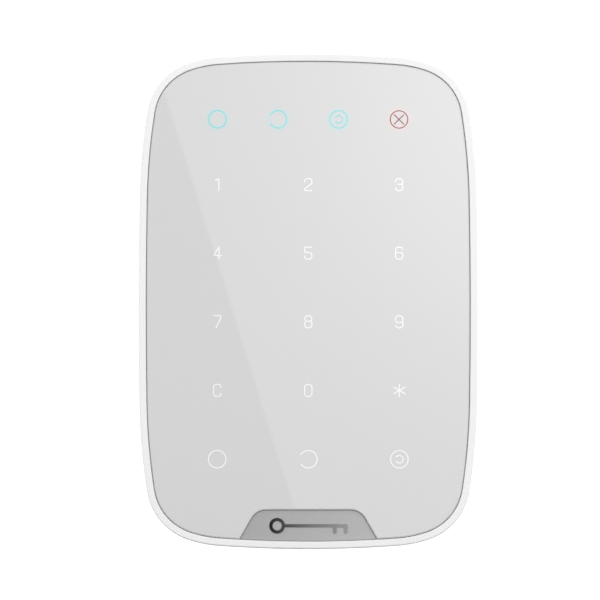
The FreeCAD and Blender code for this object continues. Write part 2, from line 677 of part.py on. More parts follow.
# ---------------------------------------------------------------- batteries
def cell_start(column, index):
    """Z of a cell's flat end, and the way it points. The right column points up, the left one down."""
    first = -BAY_HALF + CONTACT_THICK + SPRING_LENGTH + index * CELL_LENGTH
    return column * first, column


def battery_cell(column, index):
    start, way = cell_start(column, index)
    base = Vector(column * CELL_X, CELL_Y, start)
    axis = Vector(0, 0, way)
    can = Part.makeCylinder(CELL_RADIUS, CELL_BODY, base, axis)
    can = can.makeFillet(0.5, [e for e in can.Edges if len(e.Vertexes) == 1 or e.Closed and e.Length > 30])
    root = CELL_BODY - 0.4
    nub = Part.makeCylinder(CELL_NUB, CELL_LENGTH - root, base + axis * root, axis)
    return fuse([can, nub])


def contact_plate(column, end):
    """Sprung-steel plate on a bay's end wall, with a tab that turns onto the board."""
    outer = end * BAY_HALF
    inner = end * (BAY_HALF - CONTACT_THICK)
    z0, z1 = sorted((outer, inner))
    x0, x1 = sorted((column * 35.8, column * 45.0))
    face = box(x0, x1, -2.6, -11.0, z0, z1)
    x0, x1 = sorted((column * 31.0, column * 36.0))
    tab = box(x0, x1, BOARD_BACK, BOARD_BACK + 1.2, z0, z1)
    x0, x1 = sorted((column * 30.6, column * 33.0))
    f0, f1 = sorted((outer, end * (BAY_HALF - 2.4)))
    foot = box(x0, x1, BOARD_BACK, BOARD_BACK + 0.4, f0, f1)
    return fuse([face, tab, foot])


def battery_springs():
    """Conical springs under each column's first cell, one part with their plates."""
    found = []
    wire = 0.35
    for column in (-1, 1):
        end = -column
        start = Vector(column * CELL_X, CELL_Y, end * (BAY_HALF - CONTACT_THICK - 0.2))
        rise = SPRING_LENGTH - 0.2 - wire - 0.06
        spring = coil(start, Vector(0, 0, column), 3.9, 2.2, rise, 3.5, wire)
        found.append(contact_plate(column, end).fuse(spring))
    return found


def battery_plates():
    return [contact_plate(column, column) for column in (-1, 1)]


# ---------------------------------------------------------------- fasteners and label
def case_screws():
    found = []
    for x, z in corners(*CASE_SCREW):
        crown = CASE_SEAT + 1.6
        head = disc(x, z, CASE_HEAD, CASE_SEAT, crown)
        head = head.makeFillet(0.6, edges_at(head, crown))
        shank = disc(x, z, CASE_SHANK, CASE_SEAT, CASE_TIP)
        shank = shank.makeChamfer(0.5, edges_at(shank, CASE_TIP))
        found.append(cut(fuse([head, shank]), cross_recess(x, crown, z, 2.4, 0.9, "y")))
    return found


def board_screws():
    found = []
    for x, z in corners(*BOARD_POST):
        crown = BOARD_BACK + 1.1
        head = disc(x, z, 1.8, BOARD_BACK, crown)
        head = head.makeFillet(0.4, edges_at(head, crown))
        shank = disc(x, z, BOARD_SHANK, BOARD_BACK, BOARD_TIP)
        found.append(cut(fuse([head, shank]), cross_recess(x, crown, z, 1.9, 0.6, "y")))
    return found


def rating_label():
    return plate(-12.0, 12.0, -47.0, -27.0, RECESS_FLOOR, RECESS_FLOOR + 0.12, 1.5)


# ---------------------------------------------------------------- assembly
def parts():
    found = {
        "wall_bracket": wall_bracket(),
        "rear_housing": rear_housing(),
        "front_housing": front_housing(),
        "front_panel": front_panel(),
        "panel_adhesive": panel_adhesive(),
        "touch_film": touch_film(),
        "touch_film_tail": touch_film_tail(),
        "film_connector": film_connector(),
        "light_baffle": light_baffle(),
        "key_diffusers": key_diffusers(),
        "indicator_diffusers": indicator_diffusers(),
        "key_leds": [led(x, z) for x, z in KEYS],
        "indicator_leds": [led(x, z) for x, z in INDICATORS],
        "main_board": main_board(),
        "controller_chip": chip(-14.0, 8.0, 7.0, 0.9, 12, 0.5),
        "touch_chip": chip(-14.0, -14.0, 5.0, 0.8, 8, 0.5),
        "radio_module": radio_module(),
        "radio_shield": radio_shield(),
        "antenna_upper": antenna(-24.0, -2.0, 62.0),
        "antenna_lower": antenna(9.5, 27.0, -61.0),
        "board_parts": board_parts(),
        "reservoir_capacitors": reservoir_capacitors(),
        "crystal": crystal(),
        "sounder": sounder(),
        "sounder_gasket": sounder_gasket(),
        "tamper_switch": tamper_switch(),
        "tamper_plunger": tamper_plunger(),
        "tamper_spring": tamper_spring(),
        "power_switch": power_switch(),
        "power_switch_stem": power_switch_stem(),
        "power_button": power_button(),
        "battery_springs": battery_springs(),
        "battery_plates": battery_plates(),
        "case_screws": case_screws(),
        "board_screws": board_screws(),
        "lock_screw": lock_screw(),
        "badge_plate": badge_plate(),
        "badge_emblem": badge_emblem(),
        "rating_label": rating_label(),
    }
    for number, (column, index) in enumerate(((-1, 0), (-1, 1), (1, 0), (1, 1)), start=1):
        found[f"battery_cell_{number}"] = battery_cell(column, index)
    return found


def write(name, made):
    solids = [s for piece in (made if isinstance(made, list) else [made]) for s in piece.Solids]
    shape = solids[0] if len(solids) == 1 else Part.makeCompound(solids)
    if not shape.isValid():
        print("not valid:", name)
    shape.exportStep(os.path.join("parts", name + ".step"))
    print(f"{name}: {len(solids)} solid(s), {shape.Volume / 1000:.3f} cm3")


os.makedirs("parts", exist_ok=True)
for node, made in parts().items():
    write(node, made)
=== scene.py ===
import math

import bmesh
import bpy
from bpy.props import FloatProperty, FloatVectorProperty, IntProperty, PointerProperty
from mathutils import Matrix, Vector


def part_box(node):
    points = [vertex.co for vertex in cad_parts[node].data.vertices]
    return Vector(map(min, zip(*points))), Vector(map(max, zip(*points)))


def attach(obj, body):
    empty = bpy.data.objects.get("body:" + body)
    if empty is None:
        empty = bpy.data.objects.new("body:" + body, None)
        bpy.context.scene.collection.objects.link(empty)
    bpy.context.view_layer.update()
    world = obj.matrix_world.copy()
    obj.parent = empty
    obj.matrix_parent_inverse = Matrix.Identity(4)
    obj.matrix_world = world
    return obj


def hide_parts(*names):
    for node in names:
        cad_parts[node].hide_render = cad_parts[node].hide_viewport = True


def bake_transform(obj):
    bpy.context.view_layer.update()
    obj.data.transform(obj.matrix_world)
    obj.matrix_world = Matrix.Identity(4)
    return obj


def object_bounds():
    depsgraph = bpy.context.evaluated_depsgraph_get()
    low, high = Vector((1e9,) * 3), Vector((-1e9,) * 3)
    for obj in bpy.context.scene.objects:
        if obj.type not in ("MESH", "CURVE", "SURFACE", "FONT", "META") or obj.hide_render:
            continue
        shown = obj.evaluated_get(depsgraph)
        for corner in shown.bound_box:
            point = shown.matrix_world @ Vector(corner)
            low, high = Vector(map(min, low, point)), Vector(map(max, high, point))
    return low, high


bl_info = {
    "name": "Alarm keypad",
    "version": (1, 0, 0),
    "blender": (4, 5, 0),
    "location": "3D View > Sidebar > Keypad",
    "description": "Finishes a wall-mounted touch keypad: its panel, lit legends, badge, case and insides",
    "category": "Object",
}

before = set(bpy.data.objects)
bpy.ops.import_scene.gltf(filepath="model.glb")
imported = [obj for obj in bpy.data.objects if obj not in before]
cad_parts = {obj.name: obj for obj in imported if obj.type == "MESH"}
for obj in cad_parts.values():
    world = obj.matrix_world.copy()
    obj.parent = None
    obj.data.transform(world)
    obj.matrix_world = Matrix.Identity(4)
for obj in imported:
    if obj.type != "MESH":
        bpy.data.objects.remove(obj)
CAD_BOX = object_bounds()

MM = 0.001
KEYPAD = "keypad"  # the body that the case and everything in it moves with
LED_HALF_WIDTH = 0.8 * MM
LED_HALF_HEIGHT = 0.4 * MM
PANEL_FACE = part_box("front_panel")[0].y
BADGE_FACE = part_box("badge_plate")[0].y
STROKE_STEP = 0.002 * MM  # how far one stroke of a legend lies below the one before it

# Strokes of each number and sign, in a box from -1 to 1 both ways. A stroke is (is it closed, its points),
# and a point is (across, up, corner radius), with the radius in half widths of the number.
GLYPHS = {
    "1": [(False, ((-0.5, 0.7, 0), (0.4, 1, 0.24), (0.4, -1, 0)))],
    "2": [(False, (
        (-1, 0.45, 0), (-1, 1, 0.8), (1, 1, 0.8), (1, 0.2, 0.6), (-1, -0.72, 0.3), (-1, -1, 0.22),
        (1, -1, 0),
    ))],
    "3": [
        (False, ((-1, 0.5, 0), (-1, 1, 0.8), (1, 1, 0.8), (1, 0.08, 0.6), (-0.3, 0.08, 0))),
        (False, ((0.3, 0.08, 0), (1, 0.08, 0.6), (1, -1, 0.8), (-1, -1, 0.8), (-1, -0.5, 0))),
    ],
    "4": [
        (False, ((0.45, 1, 0), (0.45, -1, 0))),
        (False, ((0.4, 1, 0), (-1.05, -0.42, 0.24), (1.1, -0.42, 0))),
    ],
    "5": [(False, (
        (1, 1, 0), (-1, 1, 0.24), (-1, 0.12, 0.24), (1, 0.12, 0.8), (1, -1, 0.8), (-1, -1, 0.8),
        (-1, -0.5, 0),
    ))],
    "6": [(False, (
        (1, 0.6, 0), (1, 1, 0.8), (-1, 1, 0.8), (-1, -1, 0.8), (1, -1, 0.8), (1, 0.12, 0.7),
        (-1, 0.12, 0),
    ))],
    "7": [(False, ((-1, 1, 0), (1, 1, 0.24), (1, 0.72, 0.3), (-0.35, -1, 0)))],
    "8": [
        (True, ((-0.95, 0.08, 0.6), (0.95, 0.08, 0.6), (0.95, 1, 0.75), (-0.95, 1, 0.75))),
        (True, ((-1, -1, 0.8), (1, -1, 0.8), (1, 0.08, 0.6), (-1, 0.08, 0.6))),
    ],
    "9": [(False, (
        (-1, -0.6, 0), (-1, -1, 0.8), (1, -1, 0.8), (1, 1, 0.8), (-1, 1, 0.8), (-1, -0.12, 0.7),
        (1, -0.12, 0),
    ))],
    "C": [(False, ((1, 0.5, 0), (1, 1, 0.8), (-1, 1, 0.8), (-1, -1, 0.8), (1, -1, 0.8), (1, -0.5, 0)))],
    "0": [(True, ((-1, -1, 0.8), (1, -1, 0.8), (1, 1, 0.8), (-1, 1, 0.8)))],
    "star": [
        (False, ((0, 1, 0), (0, -1, 0))),
        (False, ((-1.5, 0.52, 0), (1.5, -0.52, 0))),
        (False, ((-1.5, -0.52, 0), (1.5, 0.52, 0))),
    ],
}
KEY_ROWS = (
    ("1", "2", "3"), ("4", "5", "6"), ("7", "8", "9"), ("C", "0", "star"),
    ("ring", "part_ring", "double_ring"),
)
INDICATOR_ROW = (("ring", "blue"), ("part_ring", "blue"), ("double_ring", "blue"), ("cross_ring", "red"))


# ---------------------------------------------------------------- settings
class KeypadLegendSettings(bpy.types.PropertyGroup):
    """Sizes and colours of the legends and indicators."""

    glyph_width: FloatProperty(
        name="Number width", description="Width of a number between its stroke centres",
        default=2.2 * MM, precision=5, unit="LENGTH", subtype="DISTANCE",
    )
    glyph_height: FloatProperty(
        name="Number height", description="Height of a number between its stroke centres",
        default=3.65 * MM, precision=5, unit="LENGTH", subtype="DISTANCE",
    )
    stroke: FloatProperty(
        name="Number stroke", description="Width of a number's stroke",
        default=0.34 * MM, precision=5, unit="LENGTH", subtype="DISTANCE",
    )
    ring_stroke: FloatProperty(
        name="Ring stroke", description="Width of a ring's stroke",
        default=0.32 * MM, precision=5, unit="LENGTH", subtype="DISTANCE",
    )
    ring_radius: FloatProperty(
        name="Ring radius", description="Radius of a ring at the middle of its stroke",
        default=2.65 * MM, precision=5, unit="LENGTH", subtype="DISTANCE",
    )
    inner_ring_radius: FloatProperty(
        name="Inner ring radius", description="Radius of the small ring in the double ring",
        default=1.15 * MM, precision=5, unit="LENGTH", subtype="DISTANCE",
    )
    ring_gap: FloatProperty(
        name="Ring gap", description="Opening at the left of a part ring",
        default=math.radians(65.0), unit="ROTATION", subtype="ANGLE",
    )
    proud: FloatProperty(
        name="Height", description="How far a legend stands proud of the panel",
        default=0.02 * MM, precision=6, unit="LENGTH", subtype="DISTANCE",
    )
    white: FloatVectorProperty(
        name="White", description="Colour of the lit key legends", subtype="COLOR", size=4, min=0, max=1,
        default=(0.86, 0.87, 0.87, 1.0),
    )
    blue: FloatVectorProperty(
        name="Blue", description="Colour of the lit blue indicators", subtype="COLOR", size=4, min=0, max=1,
        default=(0.16, 0.63, 0.66, 1.0),
    )
    red: FloatVectorProperty(
        name="Red", description="Colour of the lit red indicator", subtype="COLOR", size=4, min=0, max=1,
        default=(0.26, 0.02, 0.035, 1.0),
    )


class KeypadPanelSettings(bpy.types.PropertyGroup):
    """Colour and gloss of the touch panel."""

    tint: FloatVectorProperty(
        name="Panel tint", description="Light grey of the print behind the clear face", subtype="COLOR",
        size=4, min=0, max=1, default=(0.65, 0.65, 0.65, 1.0),
    )
    clear_roughness: FloatProperty(
        name="Clear face roughness", description="Roughness of the polished clear face",
        default=0.01, min=0, max=1,
    )
    bleed: FloatProperty(
        name="Light bleed", description="How strongly an indicator tints the print round it",
        default=0.4, min=0, max=1,
    )


class KeypadBadgeSettings(bpy.types.PropertyGroup):
    """The inlaid badge and the key drawn on it."""

    key_length: FloatProperty(
        name="Key length", description="Length of the key from its bow to its tip",
        default=23.6 * MM, precision=5, unit="LENGTH", subtype="DISTANCE",
    )
    bow_radius: FloatProperty(
        name="Bow radius", description="Radius of the key's ring at the middle of its stroke",
        default=1.9 * MM, precision=5, unit="LENGTH", subtype="DISTANCE",
    )
    key_stroke: FloatProperty(
        name="Key stroke", description="Width of the key's strokes",
        default=0.95 * MM, precision=5, unit="LENGTH", subtype="DISTANCE",
    )
    dark: FloatVectorProperty(
        name="Dark end", description="Colour of the key at its bow", subtype="COLOR", size=4, min=0, max=1,
        default=(0.001, 0.001, 0.001, 1.0),
    )
    light: FloatVectorProperty(
        name="Light end", description="Colour of the key at its tip", subtype="COLOR", size=4, min=0, max=1,
        default=(0.30, 0.30, 0.30, 1.0),
    )
    plate: FloatVectorProperty(
        name="Plate", description="Grey of the badge plate", subtype="COLOR", size=4, min=0, max=1,
        default=(0.40, 0.40, 0.40, 1.0),
    )


class KeypadCaseSettings(bpy.types.PropertyGroup):
    """Colours of the moulded case and bracket."""

    shell: FloatVectorProperty(
        name="Shell", description="White of the case", subtype="COLOR", size=4, min=0, max=1,
        default=(0.87, 0.87, 0.865, 1.0),
    )
    bracket: FloatVectorProperty(
        name="Bracket", description="White of the wall bracket", subtype="COLOR", size=4, min=0, max=1,
        default=(0.80, 0.80, 0.79, 1.0),
    )
    grain: FloatProperty(
        name="Grain", description="How many grains of the moulded texture fit in a metre",
        default=3200.0, min=1.0,
    )


class KeypadCellSettings(bpy.types.PropertyGroup):
    """Sizes of the battery cells' details."""

    crimp: FloatProperty(
        name="Crimp", description="How far the sleeve turns in over a cell's end",
        default=0.9 * MM, precision=5, unit="LENGTH", subtype="DISTANCE",
    )
    nub_radius: FloatProperty(
        name="Nub radius", description="Radius of the cell's raised contact",
        default=1.9 * MM, precision=5, unit="LENGTH", subtype="DISTANCE",
    )
    steps: IntProperty(name="Steps", description="Faces round a cell", default=64, min=12, max=256)


class KeypadStageSettings(bpy.types.PropertyGroup):
    """Camera, floor and lights."""

    distance: FloatProperty(
        name="Camera distance", description="From the middle of the panel to the camera",
        default=1.55, unit="LENGTH", subtype="DISTANCE",
    )
    below: FloatProperty(
        name="Camera below", description="How far the camera looks up at the keypad",
        default=math.radians(3.0), unit="ROTATION", subtype="ANGLE",
    )
    left: FloatProperty(
        name="Camera left", description="How far the camera stands to the left of straight on",
        default=math.radians(0.9), unit="ROTATION", subtype="ANGLE",
    )
    view_width: FloatProperty(
        name="View width", description="Width of the view at the panel",
        default=182.05 * MM, unit="LENGTH", subtype="DISTANCE",
    )
    floor_height: FloatProperty(
        name="Floor height", description="Height of the floor below the middle of the keypad",
        default=-0.13, unit="LENGTH", subtype="DISTANCE",
    )
    softbox_edge: FloatProperty(
        name="Softbox edge", description="Brightness of the softbox at its rim", default=1.9, min=0,
    )
    softbox_middle: FloatProperty(
        name="Softbox middle", description="Brightness of the softbox in its middle", default=4.6, min=0,
    )
    side_power: FloatProperty(
        name="Side light", description="Power of the near light on the right, in watts", default=0.3, min=0,
    )


# ---------------------------------------------------------------- shape helpers
def rounded_path(points, closed, unit):
    """Points of a line with its corners turned into arcs. Each point is (place, corner radius in units)."""
    count = len(points)
    path = []
    for i, (corner, radius) in enumerate(points):
        if not radius or (not closed and i in (0, count - 1)):
            path.append(corner)
            continue
        arriving = (corner - points[i - 1][0]).normalized()
        leaving = (points[(i + 1) % count][0] - corner).normalized()
        turn = arriving.angle_signed(leaving)  # positive is clockwise
        if abs(turn) < 1e-4:
            path.append(corner)
            continue
        reach = radius * unit * math.tan(abs(turn) / 2)
        start = corner - arriving * reach
        inward = Vector((arriving.y, -arriving.x)) * math.copysign(1.0, turn)
        centre = start + inward * radius * unit
        spoke = start - centre
        steps = max(3, math.ceil(abs(turn) / math.radians(10.0)))
        for k in range(steps + 1):
            angle = -turn * k / steps
            path.append(centre + Matrix.Rotation(angle, 2) @ spoke)
    return path


def arc_path(radius, start, end, centre=Vector((0, 0))):
    """Points of an arc from start to end, turning anticlockwise."""
    steps = max(8, math.ceil((end - start) / math.radians(6.0)))
    angles = [start + (end - start) * k / steps for k in range(steps + 1)]
    return [centre + radius * Vector((math.cos(a), math.sin(a))) for a in angles]


def add_ribbon(cage, path, closed, half_width, face):
    """Adds a flat ribbon with round ends along the path. It faces -Y and drops a hair on its way."""
    count = len(path)
    facets = 7  # of a round end
    pairs = []
    for i, point in enumerate(path):
        before = path[i - 1] if closed or i else point
        after = path[(i + 1) % count] if closed or i + 1 < count else point
        along = (after - before).normalized()
        side = Vector((-along.y, along.x)) * half_width
        depth = face + STROKE_STEP * i / count
        pairs.append([cage.verts.new((q.x, depth, q.y)) for q in (point + side, point - side)])
    for i in range(count if closed else count - 1):
        (left0, right0), (left1, right1) = pairs[i], pairs[(i + 1) % count]
        cage.faces.new((right0, right1, left1, left0))
    if closed:
        return
    for end, inner, depth in ((0, 1, face), (-1, -2, face + STROKE_STEP)):
        outward = (path[end] - path[inner]).normalized() * half_width
        left, right = pairs[end] if end else reversed(pairs[end])
        turns = [math.pi / 2 - math.pi * k / facets for k in range(1, facets)]
        fan = [path[end] + Matrix.Rotation(turn, 2) @ outward for turn in turns]
        cage.faces.new([right] + [cage.verts.new((q.x, depth, q.y)) for q in reversed(fan)] + [left])


def finish_piece(piece, material, body=KEYPAD):
    """Gives a new piece its material and the body it moves with."""
    piece.data.materials.clear()
    piece.data.materials.append(material)
    if body:
        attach(piece, body)


def cage_object(name, cage, centre=Vector((0, 0, 0))):
    """Turns a cage into an object at the origin, with its place in its mesh."""
    mesh = bpy.data.meshes.new(name)
    bmesh.ops.translate(cage, verts=cage.verts, vec=centre)
    cage.to_mesh(mesh)
    cage.free()
    piece = bpy.data.objects.new(name, mesh)
    bpy.context.scene.collection.objects.link(piece)
    return piece


def thicken(piece, thickness, edge):
    """Gives a flat cage its thickness, back from its face, and eases its edges."""
    solid = piece.modifiers.new("Thickness", "SOLIDIFY")
    solid.thickness = thickness
    solid.offset = -1
    ease = piece.modifiers.new("Eased edges", "BEVEL")
    ease.width = edge
    ease.segments = 2
    ease.limit_method = "ANGLE"
    ease.angle_limit = math.radians(50.0)


def apply_stack(piece, place):
    """Applies a piece's modifiers, then its place, so that the object stays at the origin."""
    bpy.context.view_layer.update()
    shown = piece.evaluated_get(bpy.context.evaluated_depsgraph_get())
    mesh = bpy.data.meshes.new_from_object(shown)
    mesh.name = piece.name
    piece.modifiers.clear()
    piece.data = mesh
    mesh.transform(place)
    return piece


def paint(material, *names):
    """Gives CAD nodes a material."""
    for name in names:
        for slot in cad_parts[name].material_slots:
            slot.material = material


def key_places():
    """Middles of the fifteen keys, row by row from the top, each over its LED."""
    low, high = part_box("key_leds")
    left, right = low.x + LED_HALF_WIDTH, high.x - LED_HALF_WIDTH
    bottom, top = low.z + LED_HALF_HEIGHT, high.z - LED_HALF_HEIGHT
    columns = [left + (right - left) * k / 2 for k in range(3)]
    rows = [top - (top - bottom) * k / 4 for k in range(5)]
    return [[Vector((x, 0, z)) for x in columns] for z in rows]


def indicator_places():
    """Middles of the four indicators, from left to right."""
    low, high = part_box("indicator_leds")
    left, right = low.x + LED_HALF_WIDTH, high.x - LED_HALF_WIDTH
    return [Vector((left + (right - left) * k / 3, 0, (low.z + high.z) / 2)) for k in range(4)]


# ---------------------------------------------------------------- materials
def moulded_plastic(name, colour, roughness, grain, depth, mottle=0.02):
    """Moulded plastic: an even spark-eroded grain, faint flow mottling and slightly uneven gloss."""
    material = bpy.data.materials.new(name)
    material.use_nodes = True
    nodes, links = material.node_tree.nodes, material.node_tree.links
    nodes.clear()

    grain_frame = nodes.new("NodeFrame")
    grain_frame.label = "Moulded grain"
    flow_frame = nodes.new("NodeFrame")
    flow_frame.label = "Flow mottling"
    gloss_frame = nodes.new("NodeFrame")
    gloss_frame.label = "Uneven gloss"

    place = nodes.new("ShaderNodeTexCoord")
    place.label = "Place on the moulding"
    pits = nodes.new("ShaderNodeTexNoise")
    pits.label = "Spark-eroded pits"
    pits.inputs["Scale"].default_value = grain
    pits.inputs["Detail"].default_value = 2.0
    pits.inputs["Roughness"].default_value = 0.55
    ripple = nodes.new("ShaderNodeTexNoise")
    ripple.label = "Slow ripple from the mould"
    ripple.inputs["Scale"].default_value = 55.0
    ripple.inputs["Detail"].default_value = 1.0
    relief = nodes.new("ShaderNodeMath")
    relief.label = "Pits over ripple"
    relief.operation = "MULTIPLY_ADD"
    relief.inputs[1].default_value = 0.8
    bump = nodes.new("ShaderNodeBump")
    bump.label = "Grain relief"
    bump.inputs["Strength"].default_value = 0.35
    bump.inputs["Distance"].default_value = depth
    flow = nodes.new("ShaderNodeTexNoise")
    flow.label = "Flow marks"
    flow.inputs["Scale"].default_value = 38.0
    flow.inputs["Detail"].default_value = 4.0
    flow.inputs["Distortion"].default_value = 0.8
    shade = nodes.new("ShaderNodeMix")
    shade.label = "Flow marks on the resin"
    shade.data_type = "RGBA"
    shade.inputs["A"].default_value = [c * (1 - mottle) for c in colour[:3]] + [1.0]
    shade.inputs["B"].default_value = [min(1.0, c * (1 + mottle * 0.6)) for c in colour[:3]] + [1.0]
    polish = nodes.new("ShaderNodeTexNoise")
    polish.label = "Rubbed patches"
    polish.inputs["Scale"].default_value = 90.0
    polish.inputs["Detail"].default_value = 3.0
    gloss = nodes.new("ShaderNodeMapRange")
    gloss.label = "Gloss of the patches"
    gloss.inputs["From Min"].default_value = 0.3
    gloss.inputs["From Max"].default_value = 0.7
    gloss.inputs["To Min"].default_value = roughness * 0.9
    gloss.inputs["To Max"].default_value = min(1.0, roughness * 1.1)
    resin = nodes.new("ShaderNodeBsdfPrincipled")
    resin.label = "Moulded resin"
    resin.inputs["IOR"].default_value = 1.53
    surface = nodes.new("ShaderNodeOutputMaterial")
    surface.label = "Finished moulding"

    for node, group, x, y in (
        (place, None, -1300, 0), (pits, grain_frame, -1000, -500), (ripple, grain_frame, -1000, -800),
        (relief, grain_frame, -700, -600), (bump, grain_frame, -450, -600), (flow, flow_frame, -1000, 300),
        (shade, flow_frame, -700, 300), (polish, gloss_frame, -1000, -100),
        (gloss, gloss_frame, -700, -100), (resin, None, -100, 0), (surface, None, 250, 0),
    ):
        node.parent = group
        node.location = (x, y)

    links.new(place.outputs["Object"], pits.inputs["Vector"])
    links.new(place.outputs["Object"], ripple.inputs["Vector"])
    links.new(place.outputs["Object"], flow.inputs["Vector"])
    links.new(place.outputs["Object"], polish.inputs["Vector"])
    links.new(pits.outputs["Fac"], relief.inputs[0])
    links.new(ripple.outputs["Fac"], relief.inputs[2])
    links.new(relief.outputs["Value"], bump.inputs["Height"])
    links.new(flow.outputs["Fac"], shade.inputs["Factor"])
    links.new(polish.outputs["Fac"], gloss.inputs["Value"])
    links.new(shade.outputs["Result"], resin.inputs["Base Color"])
    links.new(gloss.outputs["Result"], resin.inputs["Roughness"])
    links.new(bump.outputs["Normal"], resin.inputs["Normal"])
    links.new(resin.outputs["BSDF"], surface.inputs["Surface"])
    return material


def panel_glass(name, panel, legends):
    """Touch panel: light grey print under a polished clear face, tinted by the light of the indicators."""
    first, last = indicator_places()[0], indicator_places()[-1]
    pitch = (last.x - first.x) / 3
    material = bpy.data.materials.new(name)
    material.use_nodes = True
    nodes, links = material.node_tree.nodes, material.node_tree.links
    nodes.clear()

    print_frame = nodes.new("NodeFrame")
    print_frame.label = "Grey print behind the clear face"
    bleed_frame = nodes.new("NodeFrame")
    bleed_frame.label = "Light bleeding round the indicators"
    clear_frame = nodes.new("NodeFrame")
    clear_frame.label = "Polished clear face"

    place = nodes.new("ShaderNodeTexCoord")
    place.label = "Place on the panel"
    ink = nodes.new("ShaderNodeTexNoise")
    ink.label = "Fine print flecks"
    ink.inputs["Scale"].default_value = 5200.0
    ink.inputs["Detail"].default_value = 1.0
    coat_run = nodes.new("ShaderNodeTexNoise")
    coat_run.label = "Uneven ink thickness"
    coat_run.inputs["Scale"].default_value = 14.0
    coat_run.inputs["Detail"].default_value = 2.0
    mixed = nodes.new("ShaderNodeMath")
    mixed.label = "Flecks over ink thickness"
    mixed.operation = "MULTIPLY_ADD"
    mixed.inputs[1].default_value = 0.35
    tint = nodes.new("ShaderNodeMix")
    tint.label = "Light grey ink"
    tint.data_type = "RGBA"
    tint.inputs["A"].default_value = [c * 0.985 for c in panel.tint[:3]] + [1.0]
    tint.inputs["B"].default_value = [c * 1.012 for c in panel.tint[:3]] + [1.0]

    axes = nodes.new("ShaderNodeSeparateXYZ")
    axes.label = "Across and up"
    across = nodes.new("ShaderNodeMath")
    across.label = "Across, from the nearest indicator"
    across.operation = "WRAP"
    across.inputs[1].default_value = first.x + pitch / 2
    across.inputs[2].default_value = first.x - pitch / 2
    local = nodes.new("ShaderNodeCombineXYZ")
    local.label = "Place round the indicator"
    away = nodes.new("ShaderNodeVectorMath")
    away.label = "Distance from the indicator's middle"
    away.operation = "DISTANCE"
    away.inputs[1].default_value = (first.x, 0.0, first.z)
    from_stroke = nodes.new("ShaderNodeMath")
    from_stroke.label = "Distance from the ring's stroke"
    from_stroke.operation = "SUBTRACT"
    from_stroke.inputs[1].default_value = legends.ring_radius
    folded = nodes.new("ShaderNodeMath")
    folded.label = "Inside or outside alike"
    folded.operation = "ABSOLUTE"
    spread = nodes.new("ShaderNodeMapRange")
    spread.label = "Light falls off from the stroke"
    spread.interpolation_type = "SMOOTHSTEP"
    spread.inputs["From Min"].default_value = 0.0
    spread.inputs["From Max"].default_value = 2.0 * MM
    spread.inputs["To Min"].default_value = panel.bleed
    spread.inputs["To Max"].default_value = 0.0
    apart = nodes.new("ShaderNodeMath")
    apart.label = "Left or right alike"
    apart.operation = "ABSOLUTE"
    within = nodes.new("ShaderNodeMath")
    within.label = "Within the row of indicators"
    within.operation = "LESS_THAN"
    within.inputs[1].default_value = last.x + pitch / 2
    kept = nodes.new("ShaderNodeMath")
    kept.label = "Light round the four indicators"
    kept.operation = "MULTIPLY"
    side = nodes.new("ShaderNodeMath")
    side.label = "Over the red indicator"
    side.operation = "GREATER_THAN"
    side.inputs[1].default_value = last.x - pitch / 2
    hue = nodes.new("ShaderNodeMix")
    hue.label = "Blue tint, or rose over the last one"
    hue.data_type = "RGBA"
    hue.inputs["A"].default_value = (0.49, 0.69, 0.71, 1.0)
    hue.inputs["B"].default_value = (0.84, 0.64, 0.62, 1.0)
    lit = nodes.new("ShaderNodeMix")
    lit.label = "Ink tinted by the light"
    lit.data_type = "RGBA"

    swirl = nodes.new("ShaderNodeTexNoise")
    swirl.label = "Barely uneven polish"
    swirl.inputs["Scale"].default_value = 30.0
    swirl.inputs["Detail"].default_value = 1.0
    face = nodes.new("ShaderNodeBump")
    face.label = "Faint waviness of the face"
    face.inputs["Strength"].default_value = 0.02
    face.inputs["Distance"].default_value = 0.05 * MM
    sheet = nodes.new("ShaderNodeBsdfPrincipled")
    sheet.label = "Print under clear polycarbonate"
    sheet.inputs["Roughness"].default_value = 0.5
    sheet.inputs["Specular IOR Level"].default_value = 0.0
    sheet.inputs["IOR"].default_value = 1.5
    sheet.inputs["Coat Weight"].default_value = 1.0
    sheet.inputs["Coat Roughness"].default_value = panel.clear_roughness
    sheet.inputs["Coat IOR"].default_value = 1.55
    surface = nodes.new("ShaderNodeOutputMaterial")
    surface.label = "Finished panel"

    for node, group, x, y in (
        (place, None, -1700, 0), (ink, print_frame, -1000, 600), (coat_run, print_frame, -1000, 350),
        (mixed, print_frame, -700, 500), (tint, print_frame, -450, 500), (axes, bleed_frame, -1500, -100),
        (across, bleed_frame, -1300, -100), (local, bleed_frame, -1100, -100),
        (away, bleed_frame, -900, -100), (from_stroke, bleed_frame, -700, -100),
        (folded, bleed_frame, -500, -100), (spread, bleed_frame, -300, -100),
        (apart, bleed_frame, -700, -300), (within, bleed_frame, -500, -300),
        (kept, bleed_frame, -100, -200), (side, bleed_frame, -700, -500), (hue, bleed_frame, -400, -500),
        (lit, bleed_frame, 50, 150), (swirl, clear_frame, -700, -800), (face, clear_frame, -400, -800),
        (sheet, None, 300, 0), (surface, None, 650, 0),
    ):
        node.parent = group
        node.location = (x, y)

